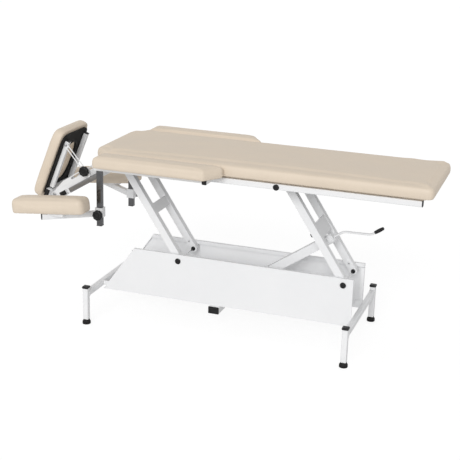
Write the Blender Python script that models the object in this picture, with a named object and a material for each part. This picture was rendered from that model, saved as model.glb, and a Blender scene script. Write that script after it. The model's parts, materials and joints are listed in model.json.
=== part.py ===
"""Massage table with a crank lift, side pads, forearm rests and a tilting face panel.

Metres, +Z up, floor at Z = 0.  +X is the foot end, -X the head end, -Y the near side.
"""
import math

import bmesh
import bpy
import numpy as np

# Driving dimensions
GAP = 0.0003              # left between pieces that touch
TOP_Z = 0.965             # upper surface of the cushions
CUSHION_T = 0.060
BOARD_T = 0.012
RAIL = 0.030              # square tube of the top frame
MAIN_HALF_W = 0.285
MAIN_HEAD_X = -0.679
MAIN_FOOT_X = 1.1075
MAIN_CORNER_X = 0.086     # length of the cut corners at the head end
MAIN_CORNER_Y = 0.074     # width of the cut corners at the head end
MAIN_CORNER = 0.030       # rounding of the main cushion's corners
BOARD_CORNER = 0.015
RAIL_SETBACK_Y = 0.019    # rail face behind the cushion's side
RAIL_SETBACK_FOOT = 0.0555
BOARD_IN = 0.040          # board's edge behind the cushion's edge
FOOT_BAR_IN = 0.056       # foot cross bar from the rails' ends
CAP_T = 0.004             # end caps of tubes
PAD_GAP = 0.011           # between the main cushion and a side pad
PAD_W = 0.129
PAD_HEAD_X = -0.614
PAD_FOOT_X = 0.085        # inner corner of the slanted foot end
PAD_SLANT = 0.086
PAD_CORNER = 0.022
BEARER = 0.028
BEARER_IN = 0.066         # bearer rail behind the pad's outer edge
STUB = 0.025              # stubs that carry the bearer rail
STUB_IN = 0.003           # head stub from the pad's head end
STUB_FOOT_IN = 0.0095     # foot stub from the pad's outer foot corner
STUB_OUT = 0.020          # foot stub past the bearer rail
LEG_X_HEAD = -0.697
LEG_X_FOOT = 0.7374
LEG_Y = 0.3247
LEG = 0.030
WALL = 0.002              # of the square tubes
LEG_TOP = 0.2045
LEG_CAP = 0.036
LEG_CAP_T = 0.0125
LEG_CAP_R = 0.006
LEG_BAR_SLACK = 0.001     # bars between the legs are this much slimmer
LEG_BAR_Z = 0.158         # underside of the bars between the legs
TAB_L = 0.045             # tabs on those bars that hold the side plates
TAB_T = 0.004
TAB_Z = (0.160, 0.186)
FOOT_H = 0.028
FOOT_R = 0.0225
FOOT_EDGE = 0.002
PLATE_Y = 0.1412          # outer faces of the side plates
PLATE_T = 0.003
PLATE_Z0 = 0.142
PLATE_Z1 = 0.4005
PLATE_TOP_HEAD_X = -0.4985
HEM_H = 0.020             # fold along a plate's upper edge
HEM_D = 0.015             # depth of the folds, from the outer face
HEM_IN = 0.0005           # head fold behind the plate's own edge
HEM_TAB_GAP = 0.014       # head fold over the tabs
PIN_R = 0.010
RUN = 0.0003              # running clearance of pins
PIN_HEAD_R = 0.016
PIN_HEAD_T = 0.005
PIN_HEAD_EDGE = 0.003
COLLAR_R = 0.012          # collars of the lower pins, inside the bars
COLLAR_T = 0.005
TIE_R = 0.003             # lower pins between their collars
PIVOT_Z = 0.364           # lower pivots of the lift arms
PIVOT_X_FOOT = 0.6692
PIVOT_X_HEAD = -0.2404
ARM_RUN = 0.3415          # arms lean this far to the head
BAR_D = 0.040             # bar of a lift arm, across its length
BAR_T = 0.035
BAR_WALL = 0.003
BAR_SOLID = 0.035         # solid lug at the lower end of a bar
BAR_SINK = 0.004          # cross rods and plates sink this far into the bars
DRAIN_R = 0.004
BAR_Y = 0.088             # inner faces of the bars
ARM_TIP_R = 0.013
ARM_TAPER = 0.050
LINK_T = 0.006            # cross plate of an arm
HEAD_LINK = (0.278, 0.335)
FOOT_LINK = (0.256, 0.343)
LINK_DROP = 0.004         # cross plate under the bars' upper faces
TIP_PLAY = 0.0004         # more clearance in the head arm's upper bore
BUMPER_AT = 0.298
BUMPER_R = 0.011
BUMPER_T = 0.009
BUMPER_EDGE = 0.002
JACK_SEAT = 0.224         # from the lower pivot along the foot arm
JACK_X = -0.0153          # lower pin of the jack
JACK_RISE = 0.024         # of that pin over the cross tube
JACK_HALF = 0.023         # half width of the square outer tube
JACK_WALL = 0.003
JACK_LEN = 0.420
JACK_HEAD_R = 0.026
JACK_HEAD_L = 0.036
JACK_HEAD_EDGE = 0.002
JACK_HEAD_FLOOR = 0.006   # closed end inside the jack's head
TRUNNION_R = 0.008
TRUNNION_SHORT = 0.001    # trunnions end inside the bars' outer faces
SCREW_R = 0.008
SCREW_LEN = 0.400
CROSS_W = 0.060           # rectangular tube under the side plates
CROSS_H = 0.040
CROSS_X = -0.0238
CROSS_OVER = 0.016        # past the plates' outer faces
CROSS_WALL = 0.003
EAR_T = 0.004
EAR_R = 0.013
EAR_HALF_W = 0.016
EAR_SINK = 0.0015
FORK_GAP = 0.040
FORK_PLAY = 0.0006
FORK_EYE_R = 0.012
FORK_PIN_R = 0.006
FORK_PIN_OVER = 0.002
CRANK_R = 0.006
CRANK_SHAFT = 0.060
CRANK_AXIAL = 0.102
CRANK_SIDE = 0.055
CRANK_DOWN = 0.0876
CRANK_STUB = 0.022        # end of the rod in line with the grip
CRANK_BEND = 0.030
GRIP_R = 0.0095
GRIP_L = 0.056
GRIP_BACK = 0.004
GRIP_TIP = 0.006
POST = 0.030
POST_IN_X = 0.011         # post's axis behind the main cushion's head end
POST_IN_Y = 0.032         # post's axis inside the rail's inner face
POST_Z0 = 0.532
SLEEVE = 0.044
SLEEVE_PLAY = 0.0004
SLEEVE_Z0 = 0.579
SLEEVE_Z1 = 0.631
REST_BAR = 0.030
REST_BAR_Z = 0.597
REST_BAR_DEG = 35.2
REST_BAR_LEN = 0.310
REST_L = 0.432
REST_W = 0.125
REST_T = 0.080
REST_CORNER = 0.034
REST_OUT = 0.2215         # middle of the rest, beyond the post
REST_SIDE = 0.133         # middle of the rest, to the side of the post
REST_Z = 0.6165           # middle of the rest's underside
REST_PITCH = 5.9
REST_SEAT = (0.134, 0.224)  # wedge under the rest, from the post
REST_SEAT_W = 0.080
REST_SEAT_SINK = 0.006
REST_BAR_START = 0.010
KNOB_R = 0.029
KNOB_T = 0.023
KNOB_STEM = 0.014
KNOB_SHIFT = 0.008
KNOB_DROP = 0.006
KNOB_STEM_R = 0.006
KNOB_BACK_EDGE = 0.004
KNOB_FRONT_EDGE = 0.006
KNOB_CROWN = 0.001
KNOB_DISH = 0.002
HEAD_DEG = 31.7           # slope of the head tubes
HEAD_OUT = 0.135          # a point on their axes, beyond the posts
HEAD_DROP = 0.1472        # the same point, under the rails' middle
HEAD_Y = 0.109
HEAD_TUBE = 0.028
HEAD_TUBE_S = (-0.165, 0.105)
SOCKET = 0.038
SOCKET_PLAY = 0.0005
SOCKET_S = (-0.226, -0.122)
SOCKET_WEB = (-0.030, 0.004)
SOCKET_WEB_T = 0.008
YOKE_T = 0.004
YOKE_HEAD_S = -0.064      # table end of the yoke's plates, along the head tubes
YOKE_HEAD_N = 0.058
YOKE_TOP_S = (-0.052, 0.118)
YOKE_TOP_N = (0.068, 0.064)
YOKE_NECK_S = 0.150
YOKE_SLOT_S = (-0.050, 0.060)
YOKE_SLOT_R = 0.0065
YOKE_BAR_S = (0.122, 0.162)
YOKE_BAR_N = (-0.010, 0.016)
YOKE_BAR_Y = 0.133
EYE_S = 0.205             # panel hinge in the head tubes' frame
EYE_N = 0.022
EYE_R = 0.014
CLAMP_S = -0.0437         # clamp bolt in the head tubes' frame
CLAMP_N = 0.054
HINGE_R = 0.005
HINGE_HALF = 0.0085       # half length of the hinge stubs
HINGE_EAR_T = 0.004
HINGE_EAR_R = 0.011
HINGE_EAR_FOOT = 0.016
HINGE_EAR_PLAY = 0.0006
PANEL_DEG = 68.5
PANEL_L = 0.420
PANEL_W = 0.340
PANEL_T = 0.060
PANEL_MID = 0.002         # middle of the panel over its reference point
PANEL_X = 0.0070          # reference point on the cushion's back, from the hinge
PANEL_Z = 0.1690
HOLE_L = 0.230
HOLE_W = 0.125
PANEL_RAIL = 0.025
PANEL_RAIL_T = (-0.128, 0.158)
PANEL_BAR_T = (-0.185, -0.135)
PANEL_BAR_Y = 0.150
STAY_AT = 0.140           # stay's pivot along the near panel rail
STAY_T = 0.004
STAY_W = 0.022
STAY_SLOT = (0.018, 0.207)
STAY_SLOT_W = 0.012
STAY_END = 0.216
STAY_PLAY = 0.0005        # between the stay and the head tube's side
STAY_BOSS_R = 0.009
STAY_PIN_IN = 0.005
STAY_PIN_OUT = 0.003
BOLT_R = 0.003
BOLT_OVER = 0.003
SPACER_R = 0.010
PAST = 0.020              # cutters run past the faces they open
UPPER_DROP = 0.002        # upper pivots under the rails' middle

# Derived levels
CUSHION_Z = TOP_Z - CUSHION_T
BOARD_Z = CUSHION_Z - BOARD_T
RAIL_TOP = BOARD_Z - GAP
RAIL_Z = RAIL_TOP - RAIL
RAIL_MID = RAIL_TOP - RAIL / 2
RAIL_Y1 = MAIN_HALF_W - RAIL_SETBACK_Y
RAIL_Y0 = RAIL_Y1 - RAIL
RAIL_X1 = MAIN_FOOT_X - RAIL_SETBACK_FOOT
POST_X = MAIN_HEAD_X + POST_IN_X
POST_Y = RAIL_Y0 - POST_IN_Y
RAIL_X0 = POST_X - RAIL / 2
REST_X = POST_X - REST_OUT
REST_Y = POST_Y + REST_SIDE
HEAD_X = POST_X - HEAD_OUT
HEAD_Z = RAIL_MID - HEAD_DROP
STAY_FACE = max(PANEL_RAIL, HEAD_TUBE) / 2 + STAY_PLAY
UPPER_Z = RAIL_MID - UPPER_DROP
ARM_RISE = UPPER_Z - PIVOT_Z
ARM_LEN = math.hypot(ARM_RUN, ARM_RISE)
ARM_ANGLE = math.atan2(ARM_RISE, ARM_RUN)
UPPER_X_FOOT = PIVOT_X_FOOT - ARM_RUN
UPPER_X_HEAD = PIVOT_X_HEAD - ARM_RUN
CROSS_TOP = PLATE_Z0 - GAP
JACK_Z = CROSS_TOP + JACK_RISE

X = np.array((1.0, 0.0, 0.0))
Y = np.array((0.0, 1.0, 0.0))
Z = np.array((0.0, 0.0, 1.0))


def vec(x, y, z):
    return np.array((x, y, z), float)


class Frame:
    """Origin and three axes; at() turns local coordinates into the table's."""

    def __init__(self, origin, u, v, w):
        self.o = np.array(origin, float)
        self.u = np.array(u, float)
        self.v = np.array(v, float)
        self.w = np.array(w, float)

    def at(self, u, v, w):
        return self.o + u * self.u + v * self.v + w * self.w


# Materials
MATERIALS = {}


def material(name, rgb, roughness, metallic=0.0):
    m = bpy.data.materials.new(name)
    m.use_nodes = True
    shader = m.node_tree.nodes["Principled BSDF"]
    shader.inputs["Base Color"].default_value = (*rgb, 1.0)
    shader.inputs["Roughness"].default_value = roughness
    shader.inputs["Metallic"].default_value = metallic
    MATERIALS[name] = m


def make(name, verts, faces, mat, origin=(0, 0, 0), helper=False):
    """One closed mesh object whose origin sits at the given point."""
    base = np.array(origin, float)
    mesh = bpy.data.meshes.new(name)
    mesh.from_pydata([tuple(np.array(v, float) - base) for v in verts], [], faces)
    bm = bmesh.new()
    bm.from_mesh(mesh)
    bmesh.ops.recalc_face_normals(bm, faces=bm.faces)
    bm.to_mesh(mesh)
    bm.free()
    mesh.shade_smooth()
    mesh.set_sharp_from_angle(angle=math.radians(35))
    mesh.materials.append(MATERIALS[mat])
    obj = bpy.data.objects.new(name, mesh)
    obj.location = tuple(base)
    bpy.context.scene.collection.objects.link(obj)
    if helper:
        obj.hide_render = True
        obj.display_type = "WIRE"
    return obj


def boolean(obj, kind, shape):
    """Join a helper shape to an object, or cut it out of it."""
    verts, faces = shape
    tool = make(obj.name + "_tool", verts, faces, "steel", helper=True)
    mod = obj.modifiers.new(kind.lower(), "BOOLEAN")
    mod.operation = kind
    mod.solver = "EXACT"
    mod.object = tool


def join(obj, *shapes):
    for shape in shapes:
        boolean(obj, "UNION", shape)


def cut(obj, *shapes):
    for shape in shapes:
        boolean(obj, "DIFFERENCE", shape)


# Shapes: each returns (vertices, faces)
def loft(rings, closed=False):
    """Skin over equal rings; open ends get a face each."""
    n = len(rings[0])
    verts = [p for ring in rings for p in ring]
    faces = []
    count = len(rings)
    for i in range(count if closed else count - 1):
        a = i * n
        b = ((i + 1) % count) * n
        for k in range(n):
            j = (k + 1) % n
            faces.append((a + k, a + j, b + j, b + k))
    if not closed:
        faces.append(tuple(reversed(range(n))))
        faces.append(tuple(range((count - 1) * n, count * n)))
    return verts, faces


def prism(frame, outline, w0, w1):
    return loft([[frame.at(u, v, w) for u, v in outline] for w in (w0, w1)])


def box(frame, u, v, w):
    outline = [(u[0], v[0]), (u[1], v[0]), (u[1], v[1]), (u[0], v[1])]
    return prism(frame, outline, w[0], w[1])


def arc(cu, cv, r, a0, a1, n):
    out = []
    for i in range(n + 1):
        a = math.radians(a0 + (a1 - a0) * i / n)
        out.append((cu + r * math.cos(a), cv + r * math.sin(a)))
    return out


def round_rect(w, h, r, n=2):
    out = []
    for cu, cv, a in ((1, 1, 0), (-1, 1, 90), (-1, -1, 180), (1, -1, 270)):
        out += arc(cu * (w / 2 - r), cv * (h / 2 - r), r, a, a + 90, n)
    return out


def bar(frame, w, h, w0, w1, r=0.004):
    return prism(frame, round_rect(w, h, r), w0, w1)


def tube(frame, w, h, wall, w0, w1, r=0.004):
    outer = round_rect(w, h, r)
    inner = round_rect(w - 2 * wall, h - 2 * wall, r - wall * 0.9)
    rings = []
    for outline, level in ((outer, w0), (outer, w1), (inner, w1), (inner, w0)):
        rings.append([frame.at(u, v, level) for u, v in outline])
    return loft(rings, closed=True)


def turned(frame, profile, n=20):
    """Solid of revolution about w; profile holds (radius, w) from axis to axis."""
    verts = []
    rows = []
    for r, w in profile:
        if r < 1e-7:
            rows.append([len(verts)])
            verts.append(frame.at(0, 0, w))
            continue
        rows.append(list(range(len(verts), len(verts) + n)))
        for k in range(n):
            a = 2 * math.pi * k / n
            verts.append(frame.at(r * math.cos(a), r * math.sin(a), w))
    faces = []
    for a, b in zip(rows, rows[1:]):
        for k in range(n):
            j = (k + 1) % n
            if len(a) == 1:
                faces.append((a[0], b[k], b[j]))
            elif len(b) == 1:
                faces.append((a[k], a[j], b[0]))
            else:
                faces.append((a[k], a[j], b[j], b[k]))
    return verts, faces


def rod(frame, r, w0, w1, n=20, edge=0.0):
    profile = [(0, w0), (r, w0), (r, w1), (0, w1)]
    if edge:
        profile = [(0, w0), (r - edge, w0), (r, w0 + edge)]
        profile += [(r, w1 - edge), (r - edge, w1), (0, w1)]
    return turned(frame, profile, n)


def swept_rod(points, r, n=12):
    """Round rod along a path, with flat ends."""
    pts = [np.array(p, float) for p in points]
    tangents = []
    for i in range(len(pts)):
        t = pts[min(i + 1, len(pts) - 1)] - pts[max(i - 1, 0)]
        tangents.append(t / np.linalg.norm(t))
    side = np.cross(tangents[0], Y)
    side /= np.linalg.norm(side)
    rings = []
    for p, t in zip(pts, tangents):
        side = side - t * (side @ t)
        side /= np.linalg.norm(side)
        other = np.cross(t, side)
        ring = []
        for k in range(n):
            a = 2 * math.pi * k / n
            ring.append(p + r * (math.cos(a) * side + math.sin(a) * other))
        rings.append(ring)
    return loft(rings)


def bent_path(corners, radius, n=5):
    """Straight runs with a round bend at each inner corner."""
    pts = [np.array(corners[0], float)]
    for a, b, c in zip(corners, corners[1:], corners[2:]):
        a, b, c = np.array(a, float), np.array(b, float), np.array(c, float)
        d0 = (a - b) / np.linalg.norm(a - b)
        d1 = (c - b) / np.linalg.norm(c - b)
        half = math.acos(max(-1, min(1, d0 @ d1))) / 2
        reach = radius / math.tan(half)
        p0 = b + d0 * reach
        p1 = b + d1 * reach
        for i in range(n + 1):
            t = i / n
            pts.append((1 - t) ** 2 * p0 + 2 * t * (1 - t) * b + t ** 2 * p1)
    pts.append(np.array(corners[-1], float))
    return pts


def inset(poly, d):
    """Convex outline, counter-clockwise, moved in by d."""
    n = len(poly)
    lines = []
    for i in range(n):
        p = np.array(poly[i], float)
        q = np.array(poly[(i + 1) % n], float)
        e = (q - p) / np.linalg.norm(q - p)
        inward = np.array((-e[1], e[0]))
        lines.append((p + inward * d, e))
    out = []
    for i in range(n):
        p, e = lines[i - 1]
        q, g = lines[i]
        t = np.linalg.solve(np.array([[e[0], -g[0]], [e[1], -g[1]]]), q - p)
        out.append(tuple(p + t[0] * e))
    return out


def rounded(poly, r, n=4):
    out = []
    count = len(poly)
    for i in range(count):
        a = np.array(poly[i - 1], float)
        b = np.array(poly[i], float)
        c = np.array(poly[(i + 1) % count], float)
        d0 = (a - b) / np.linalg.norm(a - b)
        d1 = (c - b) / np.linalg.norm(c - b)
        half = math.acos(max(-1, min(1, d0 @ d1))) / 2
        reach = r / math.tan(half)
        p0 = b + d0 * reach
        p1 = b + d1 * reach
        mid = b + (d0 + d1) / np.linalg.norm(d0 + d1) * (r / math.sin(half))
        a0 = math.atan2(*(p0 - mid)[::-1])
        a1 = math.atan2(*(p1 - mid)[::-1])
        turn = (a1 - a0 + math.pi) % (2 * math.pi) - math.pi
        for k in range(n + 1):
            ang = a0 + turn * k / n
            out.append(tuple(mid + r * np.array((math.cos(ang), math.sin(ang)))))
    return out


# Cushion section from the lower edge up: insets, and heights as shares of the thickness
CUSHION_INSETS = (0.0060, 0.0022, 0.0004, 0.0000, 0.0010, 0.0034, 0.0078, 0.0140, 0.0240, 0.0400)
CUSHION_SHARES = (0.000, 0.050, 0.200, 0.450, 0.640, 0.770, 0.865, 0.925, 0.960, 0.980)
CUSHION_MIN_CORNER = 0.006
MAIN_CROWN = (0.080, 0.180)
PAD_CROWN = (0.052,)
REST_CROWN = (0.050,)
CROWN_SHARES = (1.0, 1.04)
# Face panel: outer edge and face hole as (inset or widening, height share), with their ovals' powers
PANEL_SECTION = (
    (0.006, 0.00), (0.002, 0.08), (0.000, 0.32), (0.001, 0.60), (0.006, 0.82), (0.018, 0.95), (0.045, 1.00))
HOLE_SECTION = ((0.016, 0.97), (0.006, 0.88), (0.000, 0.60), (0.000, 0.00))
PANEL_POWER = 8
HOLE_POWER = 2.4
PANEL_BOARD_IN = 0.024
HOLE_BOARD_OUT = 0.003


def cushion(frame, poly, thickness, corner, crown):
    """Upholstered block: crowned top, soft upper edge, drawn-in lower edge."""
    rings = []
    for d, share in zip(CUSHION_INSETS, CUSHION_SHARES):
        outline = rounded(inset(poly, d), max(corner - d, CUSHION_MIN_CORNER))
        rings.append([frame.at(u, v, share * thickness) for u, v in outline])
    for d, share in zip(crown, CROWN_SHARES):
        outline = rounded(inset(poly, d), CUSHION_MIN_CORNER)
        rings.append([frame.at(u, v, share * thickness) for u, v in outline])
    return loft(rings)


def oval(a, b, power, n=40):
    out = []
    for k in range(n):
        t = 2 * math.pi * k / n
        c, s = math.cos(t), math.sin(t)
        u = a * math.copysign(abs(c) ** (2 / power), c)
        v = b * math.copysign(abs(s) ** (2 / power), s)
        out.append((u, v))
    return out


def ring_solid(frame, mid, rows):
    """Ring skinned over rows of (half length, half width, power, w); the last row meets the first."""
    rings = []
    for a, b, power, w in rows:
        rings.append([frame.at(mid + u, v, w) for u, v in oval(a, b, power)])
    return loft(rings, closed=True)


def flip(points):
    return [(u, -v) for u, v in reversed(points)]


def build():
    for old in list(bpy.data.objects):
        bpy.data.objects.remove(old, do_unlink=True)
    material("white_paint", (0.86, 0.86, 0.86), 0.38)
    material("black_plastic", (0.02, 0.02, 0.021), 0.5)
    material("black_board", (0.025, 0.024, 0.023), 0.8)
    material("chrome", (0.32, 0.32, 0.33), 0.28, 1.0)
    material("steel", (0.5, 0.5, 0.5), 0.35, 1.0)
    material("upholstery", (0.62, 0.51, 0.40), 0.55)

    base()
    arms()
    jack()
    top()
    for side, tag in ((-1, "near"), (1, "far")):
        forearm_rest(side, tag)
    face_panel()


def base():
    for side, tag in ((-1, "near"), (1, "far")):
        f = Frame((0, 0, 0), X, Z, side * Y)
        x0 = LEG_X_HEAD + LEG / 2 + GAP
        x1 = LEG_X_FOOT - LEG / 2 - GAP
        inner = PLATE_Y - PLATE_T
        lip = PLATE_Y - HEM_D
        low, under = PLATE_Z1 - HEM_H, PLATE_Z1 - PLATE_T
        section = [(PLATE_Y, PLATE_Z0), (PLATE_Y, PLATE_Z1), (lip, PLATE_Z1), (lip, low),
                   (lip + PLATE_T, low), (lip + PLATE_T, under), (inner, under), (inner, PLATE_Z0)]
        rise = PLATE_Z1 - PLATE_Z0
        run = PLATE_TOP_HEAD_X - x0
        head_end = [f.at(x0 + run / rise * (z - PLATE_Z0), z, w) for w, z in section]
        foot_end = [f.at(x1, z, w) for w, z in section]
        verts, faces = loft([head_end, foot_end])
        plate = make("side_plate_" + tag, verts, faces, "white_paint")
        edge = math.hypot(run, rise)
        along = (run * X + rise * Z) / edge
        fold = Frame(f.at(x0, PLATE_Z0, 0), along, (rise * X - run * Z) / edge, side * Y)
        share0 = (TAB_Z[1] + HEM_TAB_GAP - PLATE_Z0) / rise
        share1 = 1 - PLATE_T / 2 / rise
        join(plate, box(fold, (share0 * edge, share1 * edge), (HEM_IN, HEM_IN + PLATE_T),
                        (lip + HEM_IN, PLATE_Y - PLATE_T / 2)))
        for px in (PIVOT_X_HEAD, PIVOT_X_FOOT):
            hole = Frame((px, 0, PIVOT_Z), X, Z, side * Y)
            cut(plate, rod(hole, PIN_R + RUN, PLATE_Y - PAST, PLATE_Y + PAST))

    for end, lx in (("head", LEG_X_HEAD), ("foot", LEG_X_FOOT)):
        cross = Frame((lx, 0, LEG_BAR_Z + LEG / 2), X, Z, Y)
        verts, faces = bar(cross, LEG - LEG_BAR_SLACK, LEG, -LEG_Y, LEG_Y)
        frame = make("leg_frame_" + end, verts, faces, "white_paint")
        for side, tag in ((-1, "near"), (1, "far")):
            leg = Frame((lx, side * LEG_Y, 0), X, Y, Z)
            join(frame, bar(leg, LEG, LEG, FOOT_H + GAP, LEG_TOP))
            dome = []
            for k, h in ((1.0, GAP / LEG_CAP_T), (1.0, 0.6), (0.86, 0.9), (0.6, 1.0)):
                outline = round_rect(LEG_CAP * k, LEG_CAP * k, LEG_CAP_R * k)
                dome.append([leg.at(u, v, LEG_TOP + LEG_CAP_T * h) for u, v in outline])
            cap = loft(dome)
            make(f"leg_cap_{end}_{tag}", cap[0], cap[1], "black_plastic")
            profile = [(0, 0), (FOOT_R - FOOT_EDGE, 0), (FOOT_R, FOOT_EDGE), (FOOT_R, FOOT_H * 0.55),
                       (LEG * 0.6, FOOT_H * 0.75), (LEG * 0.56, FOOT_H), (0, FOOT_H)]
            verts, faces = turned(leg, profile)
            make(f"foot_{end}_{tag}", verts, faces, "black_plastic")
            tab = Frame((lx, 0, 0), -math.copysign(1, lx) * X, Z, side * Y)
            y1 = PLATE_Y - PLATE_T - GAP
            join(frame, box(tab, (LEG / 2 - WALL, LEG / 2 + TAB_L), TAB_Z, (y1 - TAB_T, y1)))
            cut(frame, bar(leg, LEG - 2 * WALL, LEG - 2 * WALL, FOOT_H - WALL, LEG_TOP + WALL, WALL))
        slim = LEG - LEG_BAR_SLACK - 2 * WALL
        cut(frame, bar(cross, slim, LEG - 2 * WALL, -LEG_Y, LEG_Y, WALL))

    half = PLATE_Y + CROSS_OVER
    cross = Frame((CROSS_X, 0, CROSS_TOP - CROSS_H / 2), X, Z, Y)
    verts, faces = tube(cross, CROSS_W, CROSS_H, CROSS_WALL, -half, half)
    beam = make("cross_tube", verts, faces, "white_paint")
    for side in (-1, 1):
        ear = Frame((JACK_X, 0, JACK_Z), X, Z, side * Y)
        low = -JACK_RISE - EAR_SINK
        outline = arc(0, 0, EAR_R, 0, 180, 8) + [(-EAR_HALF_W, low), (EAR_HALF_W, low)]
        join(beam, prism(ear, outline, FORK_GAP / 2, FORK_GAP / 2 + EAR_T))
    eye = Frame((JACK_X, 0, JACK_Z), X, Z, Y)
    wide = FORK_GAP / 2 + EAR_T + PAST
    cut(beam, rod(eye, FORK_PIN_R + RUN, -wide, wide, 16))
    for side, tag in ((-1, "near"), (1, "far")):
        end = Frame((CROSS_X, 0, CROSS_TOP - CROSS_H / 2), X, Z, side * Y)
        verts, faces = bar(end, CROSS_W, CROSS_H, half + GAP, half + GAP + CAP_T)
        make("cross_tube_cap_" + tag, verts, faces, "black_plastic")

    for tag, px in (("head", PIVOT_X_HEAD), ("foot", PIVOT_X_FOOT)):
        pin("lower_pin_" + tag, vec(px, 0, PIVOT_Z), PLATE_Y, vec(px, 0, PIVOT_Z), BAR_Y)


def pin(name, centre, reach, origin, collar_y=None):
    """Shaft across the table with a round head outside each end, or two journals with collars and a tie."""
    f = Frame(centre, X, Z, Y)
    out = reach + GAP
    tip = out + PIN_HEAD_T
    half = [(PIN_R, out), (PIN_HEAD_R, out), (PIN_HEAD_R, tip - PIN_HEAD_EDGE / 2)]
    half += [(PIN_HEAD_R - PIN_HEAD_EDGE, tip), (0, tip)]
    if collar_y is not None:
        outer = collar_y - GAP
        inner = outer - COLLAR_T
        half = [(TIE_R, inner), (COLLAR_R, inner), (COLLAR_R, outer), (PIN_R, outer)] + half
    profile = [(r, -w) for r, w in reversed(half)] + half
    verts, faces = turned(f, profile)
    make(name, verts, faces, "black_plastic", origin)


def arm_frame(px):
    along = vec(-math.cos(ARM_ANGLE), 0, math.sin(ARM_ANGLE))
    up = vec(math.sin(ARM_ANGLE), 0, math.cos(ARM_ANGLE))
    return Frame((px, 0, PIVOT_Z), along, up, Y)


def arms():
    h = BAR_D / 2
    outline = arc(0, 0, h, 90, 270, 10) + [(ARM_LEN - ARM_TAPER, -h)]
    outline += arc(ARM_LEN, 0, ARM_TIP_R, -90, 90, 8) + [(ARM_LEN - ARM_TAPER, h)]
    for tag, px, link in (("head", PIVOT_X_HEAD, HEAD_LINK), ("foot", PIVOT_X_FOOT, FOOT_LINK)):
        f = arm_frame(px)
        reach = BAR_Y + BAR_SINK
        verts, faces = box(f, link, (h - LINK_DROP - LINK_T, h - LINK_DROP), (-reach, reach))
        arm = make("lift_arm_" + tag, verts, faces, "white_paint", f.o)
        join(arm, prism(f, outline, BAR_Y, BAR_Y + BAR_T), prism(f, outline, -BAR_Y - BAR_T, -BAR_Y))
        tip = Frame(f.at(ARM_LEN, 0, 0), f.u, f.v, f.w)
        join(arm, rod(tip, ARM_TIP_R, -reach, reach))
        wide = BAR_Y + BAR_T + PAST
        play = RUN if tag == "foot" else RUN + TIP_PLAY
        cut(arm, rod(f, PIN_R + RUN, -wide, wide), rod(tip, PIN_R + play, -wide, wide))
        inside = h - BAR_WALL
        for side in (-1, 1):
            g = Frame(f.o, f.u, f.v, side * Y)
            cut(arm, box(g, (BAR_SOLID, ARM_LEN - ARM_TAPER), (-inside, inside),
                         (BAR_Y + BAR_WALL, BAR_Y + BAR_T - BAR_WALL)))
            drain = Frame(f.at(BAR_SOLID + 3 * DRAIN_R, 0, 0), f.u, f.v, side * Y)
            cut(arm, rod(drain, DRAIN_R, BAR_Y - BAR_WALL, BAR_Y + 2 * BAR_WALL, 12))
        if tag == "foot":
            seat = Frame(f.at(JACK_SEAT, 0, 0), f.u, f.v, f.w)
            cut(arm, rod(seat, TRUNNION_R + RUN, -wide, wide))
            under = Frame(f.at(BUMPER_AT, -h - GAP, -BAR_Y - BAR_T / 2), f.u, f.w, -f.v)
            verts, faces = rod(under, BUMPER_R, 0.0, BUMPER_T, 20, BUMPER_EDGE)
            make("arm_bumper", verts, faces, "black_plastic", f.o)


def jack_axis():
    f = arm_frame(PIVOT_X_FOOT)
    upper = f.at(JACK_SEAT, 0, 0)
    lower = vec(JACK_X, 0, JACK_Z)
    axis = (upper - lower) / np.linalg.norm(upper - lower)
    return upper, lower, axis


def jack():
    upper, lower, axis = jack_axis()
    down = vec(axis[2], 0, -axis[0])
    f = Frame(upper, down, Y, axis)
    out = (-JACK_HALF, JACK_HALF)
    bore = (JACK_WALL - JACK_HALF, JACK_HALF - JACK_WALL)
    edge = JACK_HEAD_EDGE
    floor = -JACK_HEAD_L + JACK_HEAD_FLOOR
    profile = [(0, -JACK_HEAD_L), (JACK_HEAD_R - edge, -JACK_HEAD_L), (JACK_HEAD_R, -JACK_HEAD_L + edge)]
    profile += [(JACK_HEAD_R, JACK_HEAD_L - edge), (JACK_HEAD_R - edge, JACK_HEAD_L), (0, JACK_HEAD_L)]
    verts, faces = turned(f, profile)
    body = make("jack_tube", verts, faces, "white_paint", upper)
    join(body, box(f, out, out, (-JACK_LEN, floor + JACK_HEAD_FLOOR)))
    cut(body, box(f, bore, bore, (-JACK_LEN - JACK_WALL, floor)))
    across = Frame(upper, down, axis, Y)
    reach = BAR_Y + BAR_T - TRUNNION_SHORT
    join(body, rod(across, TRUNNION_R, -reach, reach))

    f = Frame(lower, down, Y, axis)
    verts, faces = rod(f, SCREW_R, 0.0, SCREW_LEN, 16)
    screw = make("jack_screw", verts, faces, "steel", lower)
    across = Frame(lower, X, Z, Y)
    half = FORK_GAP / 2 - FORK_PLAY
    wide = FORK_GAP / 2 + EAR_T + FORK_PIN_OVER
    join(screw, rod(across, FORK_EYE_R, -half, half, 20))
    join(screw, rod(across, FORK_PIN_R, -wide, wide, 16))

    start = JACK_HEAD_L + GAP
    f = Frame(upper, down, Y, axis)
    p1 = f.at(0, 0, start + CRANK_SHAFT)
    p2 = f.at(CRANK_DOWN, CRANK_SIDE, start + CRANK_SHAFT + CRANK_AXIAL)
    p3 = f.at(CRANK_DOWN, CRANK_SIDE, start + CRANK_SHAFT + CRANK_AXIAL + CRANK_STUB)
    path = bent_path([f.at(0, 0, start), p1, p2, p3], CRANK_BEND)
    verts, faces = swept_rod(path, CRANK_R)
    make("crank", verts, faces, "white_paint", upper)
    g = Frame(p3, down, Y, axis)
    profile = [(0, GAP), (GRIP_R * 0.8, GAP), (GRIP_R, GRIP_BACK), (GRIP_R * 1.08, GRIP_L * 0.5),
               (GRIP_R, GRIP_L - GRIP_TIP), (GRIP_R * 0.6, GRIP_L), (0, GRIP_L)]
    verts, faces = turned(g, profile, 20)
    make("crank_grip", verts, faces, "black_plastic", upper)


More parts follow.
